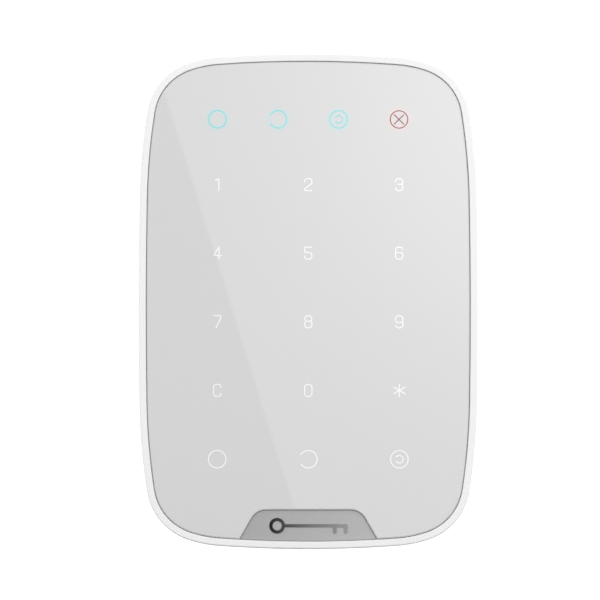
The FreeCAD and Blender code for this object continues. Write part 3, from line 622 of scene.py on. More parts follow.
    links.new(place.outputs["Object"], ink.inputs["Vector"])
    links.new(place.outputs["Object"], coat_run.inputs["Vector"])
    links.new(place.outputs["Object"], axes.inputs["Vector"])
    links.new(place.outputs["Object"], swirl.inputs["Vector"])
    links.new(ink.outputs["Fac"], mixed.inputs[0])
    links.new(coat_run.outputs["Fac"], mixed.inputs[2])
    links.new(mixed.outputs["Value"], tint.inputs["Factor"])
    links.new(axes.outputs["X"], across.inputs[0])
    links.new(across.outputs["Value"], local.inputs["X"])
    links.new(axes.outputs["Z"], local.inputs["Z"])
    links.new(local.outputs["Vector"], away.inputs[0])
    links.new(away.outputs["Value"], from_stroke.inputs[0])
    links.new(from_stroke.outputs["Value"], folded.inputs[0])
    links.new(folded.outputs["Value"], spread.inputs["Value"])
    links.new(axes.outputs["X"], apart.inputs[0])
    links.new(apart.outputs["Value"], within.inputs[0])
    links.new(spread.outputs["Result"], kept.inputs[0])
    links.new(within.outputs["Value"], kept.inputs[1])
    links.new(axes.outputs["X"], side.inputs[0])
    links.new(side.outputs["Value"], hue.inputs["Factor"])
    links.new(kept.outputs["Value"], lit.inputs["Factor"])
    links.new(tint.outputs["Result"], lit.inputs["A"])
    links.new(hue.outputs["Result"], lit.inputs["B"])
    links.new(lit.outputs["Result"], sheet.inputs["Base Color"])
    links.new(swirl.outputs["Fac"], face.inputs["Height"])
    links.new(face.outputs["Normal"], sheet.inputs["Coat Normal"])
    links.new(sheet.outputs["BSDF"], surface.inputs["Surface"])
    return material


def lit_window(name, colour, brightness, clear=0.03):
    """A light window: milky resin lit from behind, a little brighter in the middle of each LED's light."""
    material = bpy.data.materials.new(name)
    material.use_nodes = True
    nodes, links = material.node_tree.nodes, material.node_tree.links
    nodes.clear()

    light_frame = nodes.new("NodeFrame")
    light_frame.label = "Light from behind"
    milk_frame = nodes.new("NodeFrame")
    milk_frame.label = "Milky resin"

    place = nodes.new("ShaderNodeTexCoord")
    place.label = "Place on the window"
    cloud = nodes.new("ShaderNodeTexNoise")
    cloud.label = "Clouds in the resin"
    cloud.inputs["Scale"].default_value = 900.0
    cloud.inputs["Detail"].default_value = 2.0
    milk = nodes.new("ShaderNodeMix")
    milk.label = "Milky colour"
    milk.data_type = "RGBA"
    milk.inputs["A"].default_value = [c * 0.96 for c in colour[:3]] + [1.0]
    milk.inputs["B"].default_value = [min(1.0, c * 1.03) for c in colour[:3]] + [1.0]
    pool = nodes.new("ShaderNodeTexNoise")
    pool.label = "Pools of light"
    pool.inputs["Scale"].default_value = 260.0
    pool.inputs["Detail"].default_value = 0.0
    lit = nodes.new("ShaderNodeMix")
    lit.label = "Light through the resin"
    lit.data_type = "RGBA"
    lit.inputs["A"].default_value = [c * 0.9 for c in colour[:3]] + [1.0]
    lit.inputs["B"].default_value = colour
    window = nodes.new("ShaderNodeBsdfPrincipled")
    window.label = "Window"
    window.inputs["Roughness"].default_value = 0.5
    window.inputs["Specular IOR Level"].default_value = 0.0
    window.inputs["Coat Weight"].default_value = 1.0
    window.inputs["Coat Roughness"].default_value = clear
    window.inputs["Coat IOR"].default_value = 1.55
    window.inputs["Emission Strength"].default_value = brightness
    surface = nodes.new("ShaderNodeOutputMaterial")
    surface.label = "Finished window"

    for node, group, x, y in (
        (place, None, -1000, 0), (cloud, milk_frame, -700, 200), (milk, milk_frame, -400, 200),
        (pool, light_frame, -700, -200), (lit, light_frame, -400, -200), (window, None, -50, 0),
        (surface, None, 300, 0),
    ):
        node.parent = group
        node.location = (x, y)

    links.new(place.outputs["Object"], cloud.inputs["Vector"])
    links.new(place.outputs["Object"], pool.inputs["Vector"])
    links.new(cloud.outputs["Fac"], milk.inputs["Factor"])
    links.new(pool.outputs["Fac"], lit.inputs["Factor"])
    links.new(milk.outputs["Result"], window.inputs["Base Color"])
    links.new(lit.outputs["Result"], window.inputs["Emission Color"])
    links.new(window.outputs["BSDF"], surface.inputs["Surface"])
    return material


def colour_run_and_painted_shade_inlay(name, dark, light, low, high, roughness, shine):
    """Badge finish: a colour that runs evenly from its left end to its right, under a fine brushing. On the
    badge plate this run is painted shade at the left and a painted highlight at the right.
    """
    material = bpy.data.materials.new(name)
    material.use_nodes = True
    nodes, links = material.node_tree.nodes, material.node_tree.links
    nodes.clear()

    run_frame = nodes.new("NodeFrame")
    run_frame.label = "Shading from left to right"
    brush_frame = nodes.new("NodeFrame")
    brush_frame.label = "Satin brushing"

    place = nodes.new("ShaderNodeTexCoord")
    place.label = "Place on the inlay"
    axes = nodes.new("ShaderNodeSeparateXYZ")
    axes.label = "Across"
    # On the badge plate this run is painted shade and highlight; on the key it runs from the colour at its
    # bow to the colour at its tip
    run = nodes.new("ShaderNodeMapRange")
    run.label = "Left end to right end"
    run.inputs["From Min"].default_value = low
    run.inputs["From Max"].default_value = high
    shade = nodes.new("ShaderNodeMix")
    shade.label = "Dark end to light end"
    shade.data_type = "RGBA"
    shade.inputs["A"].default_value = dark
    shade.inputs["B"].default_value = light
    stretch = nodes.new("ShaderNodeMapping")
    stretch.label = "Long brush strokes"
    stretch.inputs["Scale"].default_value = (0.06, 1.0, 1.0)
    brush = nodes.new("ShaderNodeTexNoise")
    brush.label = "Brush strokes"
    brush.inputs["Scale"].default_value = 6500.0
    brush.inputs["Detail"].default_value = 2.0
    scratch = nodes.new("ShaderNodeBump")
    scratch.label = "Brushed relief"
    scratch.inputs["Strength"].default_value = 0.12
    scratch.inputs["Distance"].default_value = 0.01 * MM
    gloss = nodes.new("ShaderNodeMapRange")
    gloss.label = "Gloss of the strokes"
    gloss.inputs["To Min"].default_value = roughness * 0.85
    gloss.inputs["To Max"].default_value = roughness * 1.15
    inlay = nodes.new("ShaderNodeBsdfPrincipled")
    inlay.label = "Satin inlay"
    inlay.inputs["Specular IOR Level"].default_value = shine
    surface = nodes.new("ShaderNodeOutputMaterial")
    surface.label = "Finished inlay"

    for node, group, x, y in (
        (place, None, -1300, 0), (axes, run_frame, -1000, 300), (run, run_frame, -750, 300),
        (shade, run_frame, -450, 300), (stretch, brush_frame, -1000, -200),
        (brush, brush_frame, -750, -200), (scratch, brush_frame, -450, -350),
        (gloss, brush_frame, -450, -100), (inlay, None, -100, 0), (surface, None, 250, 0),
    ):
        node.parent = group
        node.location = (x, y)

    links.new(place.outputs["Object"], axes.inputs["Vector"])
    links.new(place.outputs["Object"], stretch.inputs["Vector"])
    links.new(axes.outputs["X"], run.inputs["Value"])
    links.new(run.outputs["Result"], shade.inputs["Factor"])
    links.new(stretch.outputs["Vector"], brush.inputs["Vector"])
    links.new(brush.outputs["Fac"], scratch.inputs["Height"])
    links.new(brush.outputs["Fac"], gloss.inputs["Value"])
    links.new(shade.outputs["Result"], inlay.inputs["Base Color"])
    links.new(gloss.outputs["Result"], inlay.inputs["Roughness"])
    links.new(scratch.outputs["Normal"], inlay.inputs["Normal"])
    links.new(inlay.outputs["BSDF"], surface.inputs["Surface"])
    return material


def plated_metal(name, colour, roughness, grain=(1.0, 1.0, 0.05)):
    """Plated steel: drawing lines, uneven plating and a little tarnish in the hollows of the noise."""
    material = bpy.data.materials.new(name)
    material.use_nodes = True
    nodes, links = material.node_tree.nodes, material.node_tree.links
    nodes.clear()

    lines_frame = nodes.new("NodeFrame")
    lines_frame.label = "Drawing lines"
    tarnish_frame = nodes.new("NodeFrame")
    tarnish_frame.label = "Plating and tarnish"

    place = nodes.new("ShaderNodeTexCoord")
    place.label = "Place on the metal"
    stretch = nodes.new("ShaderNodeMapping")
    stretch.label = "Along the drawing"
    stretch.inputs["Scale"].default_value = grain
    drawn = nodes.new("ShaderNodeTexNoise")
    drawn.label = "Drawn lines"
    drawn.inputs["Scale"].default_value = 5000.0
    drawn.inputs["Detail"].default_value = 3.0
    relief = nodes.new("ShaderNodeBump")
    relief.label = "Line relief"
    relief.inputs["Strength"].default_value = 0.15
    relief.inputs["Distance"].default_value = 0.01 * MM
    gloss = nodes.new("ShaderNodeMapRange")
    gloss.label = "Gloss of the lines"
    gloss.inputs["To Min"].default_value = roughness * 0.75
    gloss.inputs["To Max"].default_value = roughness * 1.3
    patches = nodes.new("ShaderNodeTexNoise")
    patches.label = "Tarnish patches"
    patches.inputs["Scale"].default_value = 420.0
    patches.inputs["Detail"].default_value = 4.0
    ramp = nodes.new("ShaderNodeValToRGB")
    ramp.label = "Tarnish to bright plate"
    ramp.color_ramp.elements[0].position = 0.32
    ramp.color_ramp.elements[0].color = [c * 0.72 for c in colour[:3]] + [1.0]
    ramp.color_ramp.elements[1].position = 0.58
    ramp.color_ramp.elements[1].color = colour
    metal = nodes.new("ShaderNodeBsdfPrincipled")
    metal.label = "Plated steel"
    metal.inputs["Metallic"].default_value = 1.0
    surface = nodes.new("ShaderNodeOutputMaterial")
    surface.label = "Finished metal"

    for node, group, x, y in (
        (place, None, -1300, 0), (stretch, lines_frame, -1000, -200), (drawn, lines_frame, -750, -200),
        (relief, lines_frame, -450, -350), (gloss, lines_frame, -450, -100),
        (patches, tarnish_frame, -750, 300), (ramp, tarnish_frame, -450, 300), (metal, None, -50, 0),
        (surface, None, 300, 0),
    ):
        node.parent = group
        node.location = (x, y)

    links.new(place.outputs["Object"], stretch.inputs["Vector"])
    links.new(place.outputs["Object"], patches.inputs["Vector"])
    links.new(stretch.outputs["Vector"], drawn.inputs["Vector"])
    links.new(drawn.outputs["Fac"], relief.inputs["Height"])
    links.new(drawn.outputs["Fac"], gloss.inputs["Value"])
    links.new(patches.outputs["Fac"], ramp.inputs["Fac"])
    links.new(ramp.outputs["Color"], metal.inputs["Base Color"])
    links.new(gloss.outputs["Result"], metal.inputs["Roughness"])
    links.new(relief.outputs["Normal"], metal.inputs["Normal"])
    links.new(metal.outputs["BSDF"], surface.inputs["Surface"])
    return material


def circuit_laminate(name, mask, copper):
    """Circuit board: glass weave under a glossy solder mask, with tracks as raised lighter lines."""
    material = bpy.data.materials.new(name)
    material.use_nodes = True
    nodes, links = material.node_tree.nodes, material.node_tree.links
    nodes.clear()

    track_frame = nodes.new("NodeFrame")
    track_frame.label = "Tracks under the mask"
    weave_frame = nodes.new("NodeFrame")
    weave_frame.label = "Glass weave"

    place = nodes.new("ShaderNodeTexCoord")
    place.label = "Place on the board"
    turn = nodes.new("ShaderNodeMapping")
    turn.label = "Lay the pattern on the board's face"
    turn.inputs["Rotation"].default_value = (math.radians(90.0), 0.0, 0.0)
    tracks = nodes.new("ShaderNodeTexBrick")
    tracks.label = "Runs of track"
    tracks.inputs["Scale"].default_value = 160.0
    tracks.inputs["Mortar Size"].default_value = 0.035
    tracks.inputs["Mortar Smooth"].default_value = 0.15
    tracks.inputs["Color1"].default_value = (0.0, 0.0, 0.0, 1.0)
    tracks.inputs["Color2"].default_value = (0.0, 0.0, 0.0, 1.0)
    tracks.inputs["Mortar"].default_value = (1.0, 1.0, 1.0, 1.0)
    copper_mix = nodes.new("ShaderNodeMix")
    copper_mix.label = "Mask over laminate or copper"
    copper_mix.data_type = "RGBA"
    copper_mix.inputs["A"].default_value = mask
    copper_mix.inputs["B"].default_value = copper
    weave = nodes.new("ShaderNodeTexChecker")
    weave.label = "Crossed glass yarns"
    weave.inputs["Scale"].default_value = 1800.0
    height = nodes.new("ShaderNodeMath")
    height.label = "Tracks above the weave"
    height.operation = "MULTIPLY_ADD"
    height.inputs[1].default_value = 0.08
    relief = nodes.new("ShaderNodeBump")
    relief.label = "Relief under the mask"
    relief.inputs["Strength"].default_value = 0.5
    relief.inputs["Distance"].default_value = 0.035 * MM
    board = nodes.new("ShaderNodeBsdfPrincipled")
    board.label = "Solder mask"
    board.inputs["Roughness"].default_value = 0.28
    board.inputs["Coat Weight"].default_value = 0.5
    board.inputs["Coat Roughness"].default_value = 0.1
    surface = nodes.new("ShaderNodeOutputMaterial")
    surface.label = "Finished board"

    for node, group, x, y in (
        (place, None, -1400, 0), (turn, None, -1200, 0), (tracks, track_frame, -900, 250),
        (copper_mix, track_frame, -500, 250), (weave, weave_frame, -900, -250),
        (height, weave_frame, -650, -250), (relief, weave_frame, -400, -250), (board, None, -50, 0),
        (surface, None, 300, 0),
    ):
        node.parent = group
        node.location = (x, y)

    links.new(place.outputs["Object"], turn.inputs["Vector"])
    links.new(turn.outputs["Vector"], tracks.inputs["Vector"])
    links.new(turn.outputs["Vector"], weave.inputs["Vector"])
    links.new(tracks.outputs["Color"], copper_mix.inputs["Factor"])
    links.new(weave.outputs["Fac"], height.inputs[0])
    links.new(tracks.outputs["Color"], height.inputs[2])
    links.new(height.outputs["Value"], relief.inputs["Height"])
    links.new(copper_mix.outputs["Result"], board.inputs["Base Color"])
    links.new(relief.outputs["Normal"], board.inputs["Normal"])
    links.new(board.outputs["BSDF"], surface.inputs["Surface"])
    return material


def electrode_film(name, film, ink, pitch):
    """Touch film: clear amber polyester with a printed grid of fine silver electrodes."""
    material = bpy.data.materials.new(name)
    material.use_nodes = True
    nodes, links = material.node_tree.nodes, material.node_tree.links
    nodes.clear()

    grid_frame = nodes.new("NodeFrame")
    grid_frame.label = "Printed electrodes"
    film_frame = nodes.new("NodeFrame")
    film_frame.label = "Polyester"

    place = nodes.new("ShaderNodeTexCoord")
    place.label = "Place on the film"
    axes = nodes.new("ShaderNodeSeparateXYZ")
    axes.label = "Across and up"
    column = nodes.new("ShaderNodeMath")
    column.label = "Nearest upright line"
    column.operation = "PINGPONG"
    column.inputs[1].default_value = pitch / 2
    row = nodes.new("ShaderNodeMath")
    row.label = "Nearest level line"
    row.operation = "PINGPONG"
    row.inputs[1].default_value = pitch / 2
    nearest = nodes.new("ShaderNodeMath")
    nearest.label = "Nearest line of either kind"
    nearest.operation = "MINIMUM"
    line = nodes.new("ShaderNodeMath")
    line.label = "Inside a line"
    line.operation = "LESS_THAN"
    line.inputs[1].default_value = 0.06 * MM
    colour = nodes.new("ShaderNodeMix")
    colour.label = "Silver ink on amber"
    colour.data_type = "RGBA"
    colour.inputs["A"].default_value = film
    colour.inputs["B"].default_value = ink
    haze = nodes.new("ShaderNodeTexNoise")
    haze.label = "Haze in the film"
    haze.inputs["Scale"].default_value = 120.0
    gloss = nodes.new("ShaderNodeMapRange")
    gloss.label = "Gloss of the film"
    gloss.inputs["To Min"].default_value = 0.12
    gloss.inputs["To Max"].default_value = 0.3
    sheet = nodes.new("ShaderNodeBsdfPrincipled")
    sheet.label = "Electrode film"
    surface = nodes.new("ShaderNodeOutputMaterial")
    surface.label = "Finished film"

    for node, group, x, y in (
        (place, None, -1400, 0), (axes, grid_frame, -1150, 250), (column, grid_frame, -900, 350),
        (row, grid_frame, -900, 150), (nearest, grid_frame, -700, 250), (line, grid_frame, -500, 250),
        (colour, grid_frame, -300, 250), (haze, film_frame, -700, -150), (gloss, film_frame, -400, -150),
        (sheet, None, 0, 0), (surface, None, 350, 0),
    ):
        node.parent = group
        node.location = (x, y)

    links.new(place.outputs["Object"], axes.inputs["Vector"])
    links.new(place.outputs["Object"], haze.inputs["Vector"])
    links.new(axes.outputs["X"], column.inputs[0])
    links.new(axes.outputs["Z"], row.inputs[0])
    links.new(column.outputs["Value"], nearest.inputs[0])
    links.new(row.outputs["Value"], nearest.inputs[1])
    links.new(nearest.outputs["Value"], line.inputs[0])
    links.new(line.outputs["Value"], colour.inputs["Factor"])
    links.new(haze.outputs["Fac"], gloss.inputs["Value"])
    links.new(colour.outputs["Result"], sheet.inputs["Base Color"])
    links.new(gloss.outputs["Result"], sheet.inputs["Roughness"])
    links.new(sheet.outputs["BSDF"], surface.inputs["Surface"])
    return material


def foam_rubber(name, colour, cell):
    """Closed-cell foam: small round cells that pit a soft dark surface, with painted shade in the sunken
    floors of the cells.
    """
    material = bpy.data.materials.new(name)
    material.use_nodes = True
    nodes, links = material.node_tree.nodes, material.node_tree.links
    nodes.clear()

    cell_frame = nodes.new("NodeFrame")
    cell_frame.label = "Foam cells"

    place = nodes.new("ShaderNodeTexCoord")
    place.label = "Place on the foam"
    cells = nodes.new("ShaderNodeTexVoronoi")
    cells.label = "Cells"
    cells.inputs["Scale"].default_value = cell
    # Painted shade: the sunken floors of the cells are painted at 0.6 of the colour, their raised walls at
    # the full colour
    tone = nodes.new("ShaderNodeMix")
    tone.label = "Cell floors and walls"
    tone.data_type = "RGBA"
    tone.inputs["A"].default_value = [c * 0.6 for c in colour[:3]] + [1.0]
    tone.inputs["B"].default_value = colour
    relief = nodes.new("ShaderNodeBump")
    relief.label = "Cell relief"
    relief.inputs["Strength"].default_value = 0.6
    relief.inputs["Distance"].default_value = 0.05 * MM
    foam = nodes.new("ShaderNodeBsdfPrincipled")
    foam.label = "Foam"
    foam.inputs["Roughness"].default_value = 0.85
    surface = nodes.new("ShaderNodeOutputMaterial")
    surface.label = "Finished foam"

    for node, group, x, y in (
        (place, None, -1000, 0), (cells, cell_frame, -750, 0), (tone, cell_frame, -450, 150),
        (relief, cell_frame, -450, -150), (foam, None, -100, 0), (surface, None, 250, 0),
    ):
        node.parent = group
        node.location = (x, y)

    links.new(place.outputs["Object"], cells.inputs["Vector"])
    links.new(cells.outputs["Distance"], tone.inputs["Factor"])
    links.new(cells.outputs["Distance"], relief.inputs["Height"])
    links.new(tone.outputs["Result"], foam.inputs["Base Color"])
    links.new(relief.outputs["Normal"], foam.inputs["Normal"])
    links.new(foam.outputs["BSDF"], surface.inputs["Surface"])
    return material


def cell_sleeve(name, body, band, bright, start, way, length):
    """Battery cell: a lacquered sleeve, a metallic band at its raised end, and bare plate on the ends."""
    material = bpy.data.materials.new(name)
    material.use_nodes = True
    nodes, links = material.node_tree.nodes, material.node_tree.links
    nodes.clear()

    band_frame = nodes.new("NodeFrame")
    band_frame.label = "Coloured band"
    end_frame = nodes.new("NodeFrame")
    end_frame.label = "Bare plate at the ends"
    wear_frame = nodes.new("NodeFrame")
    wear_frame.label = "Rubbed lacquer"

    place = nodes.new("ShaderNodeTexCoord")
    place.label = "Place on the cell"
    axes = nodes.new("ShaderNodeSeparateXYZ")
    axes.label = "Along the cell"
    along = nodes.new("ShaderNodeMapRange")
    along.label = "From the flat end to the raised end"
    along.inputs["From Min"].default_value = start
    along.inputs["From Max"].default_value = start + way * length
    banded = nodes.new("ShaderNodeMath")
    banded.label = "In the band"
    banded.operation = "GREATER_THAN"
    banded.inputs[1].default_value = 0.72
    sleeve = nodes.new("ShaderNodeMix")
    sleeve.label = "Sleeve and band"
    sleeve.data_type = "RGBA"
    sleeve.inputs["A"].default_value = body
    sleeve.inputs["B"].default_value = band
    normal = nodes.new("ShaderNodeNewGeometry")
    normal.label = "Which way the metal faces"
    facing = nodes.new("ShaderNodeSeparateXYZ")
    facing.label = "Facing along the cell"
    flat = nodes.new("ShaderNodeMath")
    flat.label = "End or wall"
    flat.operation = "ABSOLUTE"
    ended = nodes.new("ShaderNodeMath")
    ended.label = "On an end"
    ended.operation = "GREATER_THAN"
    ended.inputs[1].default_value = 0.75
    plate = nodes.new("ShaderNodeMix")
    plate.label = "Bare plate on the ends"
    plate.data_type = "RGBA"
    plate.inputs["B"].default_value = bright
    rub = nodes.new("ShaderNodeTexNoise")
    rub.label = "Rub marks"
    rub.inputs["Scale"].default_value = 300.0
    rub.inputs["Detail"].default_value = 4.0
    gloss = nodes.new("ShaderNodeMapRange")
    gloss.label = "Gloss of the lacquer"
    gloss.inputs["To Min"].default_value = 0.16
    gloss.inputs["To Max"].default_value = 0.34
    can = nodes.new("ShaderNodeBsdfPrincipled")
    can.label = "Lacquered can"
    can.inputs["Metallic"].default_value = 0.75
    can.inputs["Coat Weight"].default_value = 0.4
    can.inputs["Coat Roughness"].default_value = 0.1
    surface = nodes.new("ShaderNodeOutputMaterial")
    surface.label = "Finished cell"

    for node, group, x, y in (
        (place, None, -1500, 0), (axes, band_frame, -1250, 400), (along, band_frame, -1050, 400),
        (banded, band_frame, -800, 400), (sleeve, band_frame, -550, 400), (normal, end_frame, -1250, 0),
        (facing, end_frame, -1050, 0), (flat, end_frame, -850, 0), (ended, end_frame, -650, 0),
        (plate, end_frame, -350, 150), (rub, wear_frame, -850, -350), (gloss, wear_frame, -550, -350),
        (can, None, 0, 0), (surface, None, 350, 0),
    ):
        node.parent = group
        node.location = (x, y)

    links.new(place.outputs["Object"], axes.inputs["Vector"])
    links.new(place.outputs["Object"], rub.inputs["Vector"])
    links.new(axes.outputs["Z"], along.inputs["Value"])
    links.new(along.outputs["Result"], banded.inputs[0])
    links.new(banded.outputs["Value"], sleeve.inputs["Factor"])
    links.new(sleeve.outputs["Result"], plate.inputs["A"])
    links.new(normal.outputs["Normal"], facing.inputs["Vector"])
    links.new(facing.outputs["Z"], flat.inputs[0])
    links.new(flat.outputs["Value"], ended.inputs[0])
    links.new(ended.outputs["Value"], plate.inputs["Factor"])
    links.new(plate.outputs["Result"], can.inputs["Base Color"])
    links.new(rub.outputs["Fac"], gloss.inputs["Value"])
    links.new(gloss.outputs["Result"], can.inputs["Roughness"])
    links.new(can.outputs["BSDF"], surface.inputs["Surface"])
    return material


def label_stock(name, paper, ink, low, high):
    """Rating label: satin white stock with a printed border and two rules, and nothing written on it."""
    material = bpy.data.materials.new(name)
    material.use_nodes = True
    nodes, links = material.node_tree.nodes, material.node_tree.links
    nodes.clear()

    border_frame = nodes.new("NodeFrame")
    border_frame.label = "Printed border and rules"
    stock_frame = nodes.new("NodeFrame")
    stock_frame.label = "Label stock"
    centre = (low + high) / 2
    margin = 1.2 * MM
    line = 0.1 * MM

    place = nodes.new("ShaderNodeTexCoord")
    place.label = "Place on the label"
    shift = nodes.new("ShaderNodeMapping")
    shift.label = "From the label's middle"
    shift.inputs["Location"].default_value = (-centre.x, 0.0, -centre.z)
    axes = nodes.new("ShaderNodeSeparateXYZ")
    axes.label = "Across and up"
    across = nodes.new("ShaderNodeMath")
    across.label = "Left or right alike"
    across.operation = "ABSOLUTE"
    up = nodes.new("ShaderNodeMath")
    up.label = "Up or down alike"
    up.operation = "ABSOLUTE"
    side = nodes.new("ShaderNodeMath")
    side.label = "On the border's sides"
    side.operation = "COMPARE"
    side.inputs[1].default_value = (high.x - low.x) / 2 - margin
    side.inputs[2].default_value = line
    end = nodes.new("ShaderNodeMath")
    end.label = "On the border's top and bottom"
    end.operation = "COMPARE"
    end.inputs[1].default_value = (high.z - low.z) / 2 - margin
    end.inputs[2].default_value = line
    rule = nodes.new("ShaderNodeMath")
    rule.label = "On the two rules"
    rule.operation = "COMPARE"
    rule.inputs[1].default_value = 2.6 * MM
    rule.inputs[2].default_value = 0.07 * MM
    lines = nodes.new("ShaderNodeMath")
    lines.label = "Border"
    lines.operation = "MAXIMUM"
    printed = nodes.new("ShaderNodeMath")
    printed.label = "Border and rules"
    printed.operation = "MAXIMUM"
    beside = nodes.new("ShaderNodeMath")
    beside.label = "No further out than the sides"
    beside.operation = "LESS_THAN"
    beside.inputs[1].default_value = (high.x - low.x) / 2 - margin + line
    below = nodes.new("ShaderNodeMath")
    below.label = "No further out than the top and bottom"
    below.operation = "LESS_THAN"
    below.inputs[1].default_value = (high.z - low.z) / 2 - margin + line
    inside = nodes.new("ShaderNodeMath")
    inside.label = "Inside the border"
    inside.operation = "MINIMUM"
    kept = nodes.new("ShaderNodeMath")
    kept.label = "Lines that end at the border"
    kept.operation = "MULTIPLY"
    inked = nodes.new("ShaderNodeMix")
    inked.label = "Ink on the stock"
    inked.data_type = "RGBA"
    inked.inputs["A"].default_value = paper
    inked.inputs["B"].default_value = ink
    fibre = nodes.new("ShaderNodeTexNoise")
    fibre.label = "Grain of the stock"
    fibre.inputs["Scale"].default_value = 2600.0
    relief = nodes.new("ShaderNodeBump")
    relief.label = "Stock relief"
    relief.inputs["Strength"].default_value = 0.15
    relief.inputs["Distance"].default_value = 0.02 * MM
    stock = nodes.new("ShaderNodeBsdfPrincipled")
    stock.label = "Label"
    stock.inputs["Roughness"].default_value = 0.42
    surface = nodes.new("ShaderNodeOutputMaterial")
    surface.label = "Finished label"

    for node, group, x, y in (
        (place, None, -1600, 0), (shift, border_frame, -1400, 200), (axes, border_frame, -1200, 200),
        (across, border_frame, -1000, 350), (up, border_frame, -1000, 150), (side, border_frame, -800, 400),
        (end, border_frame, -800, 200), (rule, border_frame, -800, 0), (lines, border_frame, -600, 300),
        (beside, border_frame, -800, 800), (below, border_frame, -800, 600),
        (inside, border_frame, -600, 700), (printed, border_frame, -600, 100),
        (kept, border_frame, -430, 400), (inked, border_frame, -250, 200), (fibre, stock_frame, -800, -350),
        (relief, stock_frame, -450, -350), (stock, None, 0, 0), (surface, None, 350, 0),
    ):
        node.parent = group
        node.location = (x, y)

    links.new(place.outputs["Object"], shift.inputs["Vector"])
    links.new(place.outputs["Object"], fibre.inputs["Vector"])
    links.new(shift.outputs["Vector"], axes.inputs["Vector"])
    links.new(axes.outputs["X"], across.inputs[0])
    links.new(axes.outputs["Z"], up.inputs[0])
    links.new(across.outputs["Value"], side.inputs[0])
    links.new(up.outputs["Value"], end.inputs[0])
    links.new(up.outputs["Value"], rule.inputs[0])
    links.new(side.outputs["Value"], lines.inputs[0])
    links.new(end.outputs["Value"], lines.inputs[1])
    links.new(lines.outputs["Value"], printed.inputs[0])
    links.new(rule.outputs["Value"], printed.inputs[1])
    links.new(across.outputs["Value"], beside.inputs[0])
    links.new(up.outputs["Value"], below.inputs[0])
    links.new(beside.outputs["Value"], inside.inputs[0])
    links.new(below.outputs["Value"], inside.inputs[1])
    links.new(printed.outputs["Value"], kept.inputs[0])
    links.new(inside.outputs["Value"], kept.inputs[1])
    links.new(kept.outputs["Value"], inked.inputs["Factor"])
    links.new(fibre.outputs["Fac"], relief.inputs["Height"])
    links.new(inked.outputs["Result"], stock.inputs["Base Color"])
    links.new(relief.outputs["Normal"], stock.inputs["Normal"])
    links.new(stock.outputs["BSDF"], surface.inputs["Surface"])
    return material


# ---------------------------------------------------------------- legends
def glyph_paths(kind, legends):
    """Strokes of a legend as (path, closed), round its middle."""
    if kind in GLYPHS:
        half = legends.glyph_width / 2
        strokes = []
        for closed, points in GLYPHS[kind]:
            placed = [(Vector((x * half, z * legends.glyph_height / 2)), radius) for x, z, radius in points]
            strokes.append((rounded_path(placed, closed, half), closed))
        return strokes
    full = arc_path(legends.ring_radius, 0.0, 2 * math.pi)[:-1]
    gap = legends.ring_gap / 2
    if kind == "part_ring":
        return [(arc_path(legends.ring_radius, math.pi + gap, 3 * math.pi - gap), False)]
    if kind == "double_ring":
        inner = arc_path(legends.inner_ring_radius, math.pi + gap, 3 * math.pi - gap)
        return [(full, True), (inner, False)]
    if kind == "cross_ring":
        arm = legends.ring_radius * 0.54  # across and up, so the cross ends inside the ring
        crossing = [([Vector((-arm, sign * arm)), Vector((arm, -sign * arm))], False) for sign in (-1, 1)]
        return [(full, True)] + crossing
    return [(full, True)]


def legend_piece(name, kind, place, legends, material):
    """Makes one legend as thin inlaid strokes on the panel's face."""
    cage = bmesh.new()
    stroke = legends.stroke if kind in GLYPHS else legends.ring_stroke
    for k, (path, closed) in enumerate(glyph_paths(kind, legends)):
        add_ribbon(cage, path, closed, stroke / 2, k * STROKE_STEP)
    centre = Vector((place.x, PANEL_FACE - legends.proud, place.z))
    piece = cage_object(name, cage, centre)
    thicken(piece, legends.proud * 2, legends.proud * 0.4)
    finish_piece(piece, material)


class KEYPAD_OT_key_legends(bpy.types.Operator):
    """Make the fifteen lit key legends: the numbers, C, 0, the star and the three mode rings"""

    bl_idname = "keypad.key_legends"
    bl_label = "Key legends"

    def execute(self, context):
        legends = context.scene.keypad_legends
        material = lit_window("legend_white_light", legends.white, brightness=0.06)
        for row, names in zip(key_places(), KEY_ROWS):
            for place, kind in zip(row, names):
                legend_piece(f"key_legend_{kind}", kind, place, legends, material)
        return {"FINISHED"}


class KEYPAD_OT_indicators(bpy.types.Operator):
    """Make the four lit indicators: three pale blue rings and a red ring with a cross"""

    bl_idname = "keypad.indicators"
    bl_label = "Indicators"

    def execute(self, context):
        legends = context.scene.keypad_legends
        lights = {
            "blue": lit_window("indicator_blue_light", legends.blue, brightness=0.1),
            "red": lit_window("indicator_red_light", legends.red, brightness=0.05),
        }
        for place, (kind, colour) in zip(indicator_places(), INDICATOR_ROW):
            legend_piece(f"indicator_{kind}", kind, place, legends, lights[colour])
        return {"FINISHED"}


# ---------------------------------------------------------------- panel, badge and case
class KEYPAD_OT_touch_panel(bpy.types.Operator):
    """Finish the touch panel and the film, tape and tail behind it"""

    bl_idname = "keypad.touch_panel"
    bl_label = "Touch panel"

    def execute(self, context):
        scene = context.scene
        paint(panel_glass("panel_clear_grey", scene.keypad_panel, scene.keypad_legends), "front_panel")
        amber, silver = (0.55, 0.40, 0.16, 1.0), (0.62, 0.62, 0.60, 1.0)
        paint(electrode_film("film_amber", amber, silver, pitch=3.2 * MM), "touch_film", "touch_film_tail")
        tape = foam_rubber("tape_black", (0.03, 0.03, 0.03, 1.0), cell=3000.0)
        paint(tape, "panel_adhesive", "sounder_gasket")
        return {"FINISHED"}


